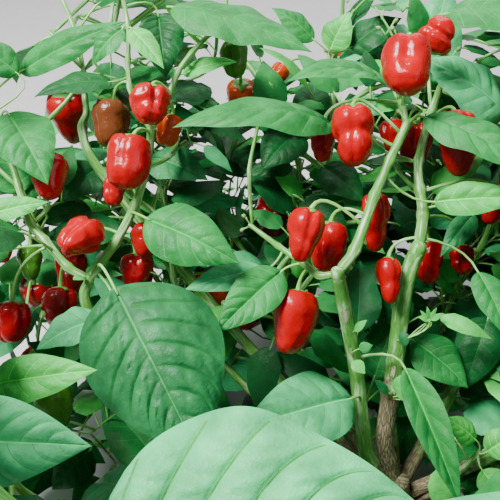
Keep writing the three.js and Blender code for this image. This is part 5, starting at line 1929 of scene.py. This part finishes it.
def limb_mesh(bm, way, radii, settings, old, foot):
    """A limb drawn ring by ring from a circle, with ribs, swellings, scars and cracked bark."""
    age_layer, scar_layer = bm.verts.layers.float["age"], bm.verts.layers.float["scar"]
    skin_layer = bm.verts.layers.float_vector["skin"]
    fine = np.array(smooth_way(list(way), LIMB_RINGS))
    place = measured(fine)
    along, _, _ = frames_along(fine)
    if foot:
        for k in range(len(fine)):
            level = min(1.0, place[k] / FOOT_LEVEL)
            along[k] = unit(UP * (1 - level) + along[k] * level)
    side = point(1, 0, 0)
    ring = bmesh.ops.create_circle(bm, segments=LIMB_SIDES, radius=1.0)["verts"]
    first = ring
    last = len(fine) - 1
    for k in range(last + 1):
        if k:
            ring = drawn_on(bm, ring)
        side = unit(side - along[k] * (side @ along[k]))
        other = np.cross(along[k], side)
        radius = radius_along(radii, k / last) * LIMB_ROUND
        low = max(0.0, 1 - place[k] / FLARE_LEVEL) if foot else 0
        for i, vert in enumerate(ring):
            turn = 2 * math.pi * i / LIMB_SIDES
            out = side * math.cos(turn) + other * math.sin(turn)
            spot = fine[k] + out * radius
            age = old(spot)
            scar = max(scar_at(spot - at, along[k]) for at in SCARS)
            furrow = abs(math.sin(RIBS / 2 * turn + place[k] * RIB_TWIST)) ** RIB_SHARP
            ribs = RIB_OUT - RIB_DEEP * furrow * (1 - RIB_FADE * age)
            grain = noise.noise(Vector(spot / GRAIN_SIZE))
            crust = noise.noise(Vector(spot / CRUST_SIZE)) * age
            flare = FLARE * low * math.cos(ROOTS * turn + ROOTS_TURN)
            more = ribs + flare + GRAIN * grain + settings.bark_relief * crust + SCAR_OUT * scar
            vert.co = Vector((fine[k] + out * radius * (1 + more)) * MM)
            vert[age_layer], vert[scar_layer] = age, scar
            vert[skin_layer] = (math.cos(turn), math.sin(turn), place[k] / SKIN_LENGTH + way[0].sum())
    if foot:
        bmesh.ops.contextual_create(bm, geom=ring_edges(first))
    else:
        first = drawn_on(bm, first)
        bmesh.ops.pointmerge(bm, verts=first, merge_co=Vector(fine[0] * MM))
    ring = drawn_on(bm, ring)
    bmesh.ops.pointmerge(bm, verts=ring, merge_co=Vector((fine[-1] + along[-1] * radii[-1] * LIMB_END) * MM))


def limb_piece(name, limbs, settings, material, old, foot=False):
    """Limbs together in one mesh, which keeps the age of the bark, its scars and its skin's places."""
    mesh = bpy.data.meshes.new(name)
    bm = bmesh.new()
    bm.verts.layers.float.new("age")
    bm.verts.layers.float.new("scar")
    bm.verts.layers.float_vector.new("skin")
    for way, radii in limbs:
        limb_mesh(bm, way, radii, settings, old, foot)
    bmesh.ops.recalc_face_normals(bm, faces=bm.faces)
    for face in bm.faces:
        face.smooth = True
    bm.to_mesh(mesh)
    bm.free()
    mesh.materials.append(material)
    return linked(name, mesh)


def age_between(low, high):
    """Old below a height, young above another."""
    return lambda spot: min(1.0, max(0.0, (high - spot[2]) / (high - low)))


def place_piece(obj, slot_name, *nodes):
    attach(obj, "root")
    if nodes:
        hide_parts(*nodes)


GROWN = {}


def grown_plant(settings):
    """The plant as it grew, worked out again only where another share of twigs is asked for."""
    if settings.twiglets not in GROWN:
        GROWN.clear()
        GROWN[settings.twiglets] = Plant(settings.twiglets)
    return GROWN[settings.twiglets]


def colour_property(name, description, default):
    return FloatVectorProperty(
        name=name, description=description, default=default, size=3, min=0, max=1, subtype="COLOR"
    )


def share_property(name, description, default, most=1.0):
    return FloatProperty(
        name=name, description=description, default=default, min=0, max=most, subtype="FACTOR"
    )


class PepperSettings(bpy.types.PropertyGroup):
    twiglets: IntProperty(
        name="Side Twigs",
        description="How many short side twigs with small leaves grow, as a share of the usual number",
        default=100,
        min=0,
        max=200,
        subtype="PERCENTAGE",
    )
    leaf_thickness: FloatProperty(
        name="Leaf Thickness", description="Thickness of a blade", default=0.0005, min=0.0002, unit="LENGTH"
    )
    quilting: share_property("Quilting", "Height of a swelling as a share of the space it is in", 0.1, 0.3)
    bark_relief: share_property("Bark Relief", "Depth of the cork's ridges for each radius", 0.09, 0.3)
    leaf_roughness: share_property("Leaf Roughness", "Roughness of the upper side of the leaves", 0.42)
    leaf_sheen: share_property("Leaf Gloss", "Strength of the leaves' reflections", 0.22)
    fruit_roughness: share_property("Fruit Roughness", "Roughness of the skin of the fruit", 0.21)
    leaf_mature: colour_property("Mature Leaf", "Colour of full-grown leaves", (0.035, 0.34, 0.07))
    # Painted reflection: the bluish cast stands for the sky reflected on the leaf; the darker green is the
    # leaf's own.
    leaf_blue: colour_property("Blue Leaf", "Colour of large leaves with a bluish bloom", (0.03, 0.26, 0.075))
    leaf_young: colour_property("Young Leaf", "Colour of new leaves", (0.11, 0.72, 0.12))
    # Painted light: a brighter copy of the leaf green, for leaves that are to look fully lit.
    leaf_pale: colour_property("Pale Leaf", "Colour of leaves in full light", (0.09, 0.68, 0.24))
    # Painted shade: a darker copy of the leaf green for leaves inside the crown, and older leaves.
    leaf_deep: colour_property("Deep Leaf", "Colour of leaves inside the crown", (0.014, 0.15, 0.035))
    leaf_under: colour_property("Leaf Underside", "Colour of the underside of the leaves", (0.09, 0.3, 0.11))
    fruit_red: colour_property("Red Fruit", "Colour of ripe fruit", (0.6, 0.0, 0.004))
    fruit_orange: colour_property("Orange Fruit", "Colour of fruit that turns", (0.75, 0.07, 0.004))
    fruit_brown: colour_property("Brown Fruit", "Colour of fruit that starts to turn", (0.17, 0.045, 0.01))
    fruit_green: colour_property("Green Fruit", "Colour of unripe fruit", (0.06, 0.24, 0.015))
    fruit_dark: colour_property("Dark Fruit", "Colour of ripe fruit in the shade", (0.36, 0.002, 0.003))
    stem_green: colour_property("Green Stem", "Colour of young stems", (0.17, 0.5, 0.09))
    # Pale ribs of the stems, lightened further as painted highlight streaks.
    stem_rib_and_highlight: colour_property("Stem Ribs", "Colour of the pale ribs of young stems", (0.6, 0.92, 0.48))
    stem_cork: colour_property("Cork", "Colour of old bark", (0.3, 0.26, 0.14))
    bud_green: colour_property("Bud", "Colour of flower buds", (0.35, 0.55, 0.2))
    light: FloatProperty(name="Light", description="Strength of the lights", default=1.0, min=0, max=5)


class PEPPER_OT_trunk(bpy.types.Operator):
    """Draw the trunk with its corky bark"""

    bl_idname = "pepper.trunk"
    bl_label = "Trunk"

    def execute(self, context):
        settings = context.scene.pepper_plant
        plant = grown_plant(settings)
        bark = stem_materials(settings)[0]
        obj = limb_piece("trunk_bark", [plant.limbs["trunk"]], settings, bark, age_between(*TRUNK_AGE), True)
        place_piece(obj, "bark", "trunk")
        return {"FINISHED"}


class PEPPER_OT_boughs(bpy.types.Operator):
    """Draw the boughs, corky near the trunk and green higher up"""

    bl_idname = "pepper.boughs"
    bl_label = "Boughs"

    def execute(self, context):
        settings = context.scene.pepper_plant
        plant = grown_plant(settings)
        bark = stem_materials(settings)[0]
        for title, names, old in (
            ("old_bough", [OLD_BOUGH], age_between(*OLD_BOUGH_AGE)),
            ("green_boughs", [name for name in BOUGHS if name != OLD_BOUGH], age_between(*BOUGH_AGE)),
        ):
            obj = limb_piece(title, [plant.limbs[name] for name in names], settings, bark, old)
            place_piece(obj, "green_stem", *names)
        return {"FINISHED"}


class PEPPER_OT_shoots(bpy.types.Operator):
    """Draw the shoots, side twigs and the stalks of leaves and fruit"""

    bl_idname = "pepper.shoots"
    bl_label = "Shoots and Stalks"

    def execute(self, context):
        settings = context.scene.pepper_plant
        plant = grown_plant(settings)
        _, shoot, stalk = stem_materials(settings)
        random = Seeded("shoots")
        shoots, stalks = Heap(), Heap()
        for name, mass in plant.masses.items():
            shown = len(MASSES[name]["shoots"]) if name in MASSES else 0
            for k, (way, radii) in enumerate(mass.twigs):
                if k == 0:
                    tip = plant.limbs[MASSES[name]["bough"]][0][-1]
                    fork = smooth_way([tip - mass.along * 9, tip, way[-1]], 4)
                    swelling = np.interp(range(9), (0, 3, 6, 8), (0.8, 0.93, 0.98, 0.8))
                    tube(shoots, fork, swelling * radii[0], SHOOT_SIDES, rounded=0.7)
                elif k <= shown:
                    nodes = range(SPANS, len(way), SPANS)
                    shoot_tube(shoots, way, radii, nodes, SHOOT_SIDES, random)
                else:
                    shoot_tube(shoots, way, radii, range(1, len(way)), GROWN_SHOOT_SIDES, random, 4)
            for way in mass.twiglets:
                tube(shoots, smooth_way(way, 2), TWIGLET_SHAPE, STALK_SIDES)
            for leaf in mass.leaves:
                if leaf.shows:
                    petiole(stalks, redrawn(leaf), SHOWN_STALK_SIDES)
                else:
                    petiole(stalks, leaf, STALK_SIDES)
            for fruit in mass.fruits:
                way = fruit.pedicel(8) if fruit.control is not None else smooth_way(
                    [fruit.root, (fruit.root + fruit.top) / 2 + UP * 3, fruit.top], 4
                )
                share = np.linspace(0, 1, len(way))
                tube(stalks, way, np.interp(share, PEDICEL_PLACES, PEDICEL_SHAPE), PEDICEL_SIDES)
        for leaf in young_leaves():
            petiole(stalks, leaf, YOUNG_STALK_SIDES)
        place_piece(shoots.piece("shoots", [shoot]), "green_stem")
        place_piece(stalks.piece("leaf_and_fruit_stalks", [stalk]), "green_stem")
        return {"FINISHED"}


def young_leaves():
    return [shown_leaf(spec, [[seen(*root)] * 2], 0) for root, spec in YOUNG]


def blade_look(leaf, settings, kind):
    """How finely a blade is drawn: shown in front, full-grown in the crown, or small."""
    tint = LEAF_TINTS.index(leaf.tint)
    look = dict(zip(LOOK_PARTS, LEAF_LOOKS[kind]))
    look["kind"] = kind
    look["quilt"] = settings.quilting * look["quilt"]
    look["thick"] = settings.leaf_thickness / MM
    look["slots"] = (3 * tint, 3 * tint + 1, 3 * tint + 2, 3 * len(LEAF_TINTS))
    return look


class PEPPER_OT_shown_leaves(bpy.types.Operator):
    """Draw the leaves that show in front, veined and quilted"""

    bl_idname = "pepper.shown_leaves"
    bl_label = "Front Leaves"

    def execute(self, context):
        settings = context.scene.pepper_plant
        plant = grown_plant(settings)
        random = Seeded("front")
        heap = Heap()
        for mass in plant.masses.values():
            for leaf in mass.leaves:
                if leaf.shows:
                    kind = next(name for name, least in LOOK_WIDTHS if leaf.wide > least)
                    blade(heap, redrawn(leaf), blade_look(leaf, settings, kind), random)
        for leaf in young_leaves():
            kind = "veined" if leaf.wide > YOUNG_WIDEST else "small"
            blade(heap, leaf, blade_look(leaf, settings, kind), random)
        obj = heap.piece("front_leaves", leaf_materials(settings))
        nodes = [name for name, mass in plant.masses.items() if any(leaf.shows for leaf in mass.leaves)]
        place_piece(obj, "foliage", *nodes)
        return {"FINISHED"}


class PEPPER_OT_crown_leaves(bpy.types.Operator):
    """Draw the leaves of the rest of the crown"""

    bl_idname = "pepper.crown_leaves"
    bl_label = "Crown Leaves"

    def execute(self, context):
        settings = context.scene.pepper_plant
        plant = grown_plant(settings)
        random = Seeded("crown")
        tints = Seeded("tints")
        full, small, veined = (Heap(), Heap()), Heap(), Heap()
        for mass in plant.masses.values():
            for leaf in mass.leaves:
                if leaf.shows:
                    continue
                half = min(full, key=lambda heap: heap.count)
                choice = CROWN_TINTS if leaf.length > SMALL_LENGTH else SMALL_TINTS
                leaf.tint = tints.pick(choice)
                if leaf.length > SMALL_LENGTH and in_picture(leaf.middle(0.5), VEINED_DEPTH):
                    blade(veined, leaf, blade_look(leaf, settings, "veined"), random)
                elif leaf.length > SMALL_LENGTH:
                    blade(half, leaf, blade_look(leaf, settings, "full"), random)
                else:
                    blade(small, leaf, blade_look(leaf, settings, "small"), random)
        materials = leaf_materials(settings)
        for number, heap in enumerate(full):
            place_piece(heap.piece(f"crown_leaves_{number + 1}", materials), "foliage", *MASSES)
        place_piece(small.piece("small_leaves", materials), "foliage", *MASSES)
        place_piece(veined.piece("veined_leaves", materials), "foliage", *MASSES)
        return {"FINISHED"}


class PEPPER_OT_fruit(bpy.types.Operator):
    """Draw the pods and their green caps"""

    bl_idname = "pepper.fruit"
    bl_label = "Fruit"

    def execute(self, context):
        settings = context.scene.pepper_plant
        plant = grown_plant(settings)
        random = Seeded("fruit")
        pods, caps = Heap(), Heap()
        for mass in plant.masses.values():
            for fruit in mass.fruits:
                shows = fruit.tint is not None
                tint = fruit.tint or random.pick(GROWN_FRUIT_TINTS)
                fruit_body(pods, fruit, FRUIT_TINTS.index(tint), random, *(SHOWN_POD if shows else GROWN_POD))
                calyx(caps, fruit, random)
        place_piece(pods.piece("pods", fruit_materials(settings)), "fruit")
        place_piece(caps.piece("pod_caps", [stem_materials(settings)[1]]), "green_stem")
        return {"FINISHED"}


class PEPPER_OT_buds(bpy.types.Operator):
    """Draw clusters of flower buds at the tips of shoots"""

    bl_idname = "pepper.buds"
    bl_label = "Flower Buds"

    def execute(self, context):
        settings = context.scene.pepper_plant
        plant = grown_plant(settings)
        random = Seeded("buds")
        heaps = Heap(), Heap()
        for mass in plant.masses.values():
            for spot, along, azimuth in mass.buds:
                bud_cluster(heaps, spot, along, azimuth, random)
        for spot in BUD_SPOTS:
            bud_cluster(heaps, spot, UP, 40, random)
        colour = tuple(settings.bud_green)
        inputs = {"Color": toned(colour, 1), "Patch Color": toned(colour, 0.7), "Patch Scale": 200}
        skin = finish_material("flower bud", the_group("Plant Skin", skin_group), inputs, 0.25, 0.0003, {})
        place_piece(heaps[0].piece("bud_stalks", [stem_materials(settings)[2]]), "green_stem")
        place_piece(heaps[1].piece("flower_buds", [skin]), "foliage")
        return {"FINISHED"}


class PEPPER_OT_stage(bpy.types.Operator):
    """Set up the pale floor, the soft lights and the camera"""

    bl_idname = "pepper.stage"
    bl_label = "Floor, Lights and Camera"

    def execute(self, context):
        settings = context.scene.pepper_plant
        scene = context.scene
        mesh = bpy.data.meshes.new("floor")
        bm = bmesh.new()
        bmesh.ops.create_grid(bm, x_segments=1, y_segments=1, size=FLOOR_REACH)
        bm.to_mesh(mesh)
        bm.free()
        floor = linked("floor", mesh)
        paint = bpy.data.materials.new("pale floor")
        paint.use_nodes = True
        tree = paint.node_tree
        shader = tree.nodes["Principled BSDF"]
        place = node(tree, "ShaderNodeTexCoord").outputs["Object"]
        grain = clouds(tree, place, 40, 5)
        colour = mixed(tree, grain, *FLOOR_COLOURS)
        tree.links.new(colour, shader.inputs["Base Color"])
        tree.links.new(ramp(tree, grain, 0.3, 0.7, 0.7, 0.85), shader.inputs["Roughness"])
        mesh.materials.append(paint)
        for title, place, aim, size, power in LIGHTS:
            data = bpy.data.lights.new(title, "AREA")
            data.size = size
            data.energy = power * settings.light
            light = linked(title, data)
            light.location = place
            light.rotation_euler = (Vector(aim) - Vector(place)).to_track_quat("-Z", "Y").to_euler()
        world = bpy.data.worlds.new("soft daylight")
        world.use_nodes = True
        sky = world.node_tree.nodes["Background"].inputs
        sky["Color"].default_value = SKY_COLOUR
        sky["Strength"].default_value = SKY_STRENGTH * settings.light
        scene.world = world
        data = bpy.data.cameras.new("camera")
        data.sensor_fit = "HORIZONTAL"
        data.angle = math.radians(VIEW_ANGLE)
        data.clip_start = 0.01
        scene.camera = linked("camera", data)
        scene.camera.location = Vector(EYE * MM)
        scene.camera.rotation_euler = (math.radians(90 - VIEW_PITCH), 0, 0)
        return {"FINISHED"}


class PEPPER_PT_panel(bpy.types.Panel):
    """Chilli pepper plant"""

    bl_idname = "PEPPER_PT_panel"
    bl_label = "Chilli Pepper Plant"
    bl_space_type = "VIEW_3D"
    bl_region_type = "UI"
    bl_category = "Pepper"

    def draw(self, context):
        for name in PepperSettings.__annotations__:
            self.layout.prop(context.scene.pepper_plant, name)
        for operator in OPERATORS:
            self.layout.operator(operator.bl_idname)


OPERATORS = (
    PEPPER_OT_stage,
    PEPPER_OT_trunk,
    PEPPER_OT_boughs,
    PEPPER_OT_shoots,
    PEPPER_OT_shown_leaves,
    PEPPER_OT_crown_leaves,
    PEPPER_OT_fruit,
    PEPPER_OT_buds,
)
CLASSES = (PepperSettings, *OPERATORS, PEPPER_PT_panel)


def register():
    for made in CLASSES:
        bpy.utils.register_class(made)
    bpy.types.Scene.pepper_plant = PointerProperty(type=PepperSettings)


def unregister():
    del bpy.types.Scene.pepper_plant
    for made in reversed(CLASSES):
        bpy.utils.unregister_class(made)


def main():
    register()
    bpy.ops.pepper.stage()
    bpy.ops.pepper.trunk()
    bpy.ops.pepper.boughs()
    bpy.ops.pepper.shoots()
    bpy.ops.pepper.shown_leaves()
    bpy.ops.pepper.crown_leaves()
    bpy.ops.pepper.fruit()
    bpy.ops.pepper.buds()


if __name__ == "__main__":
    main()
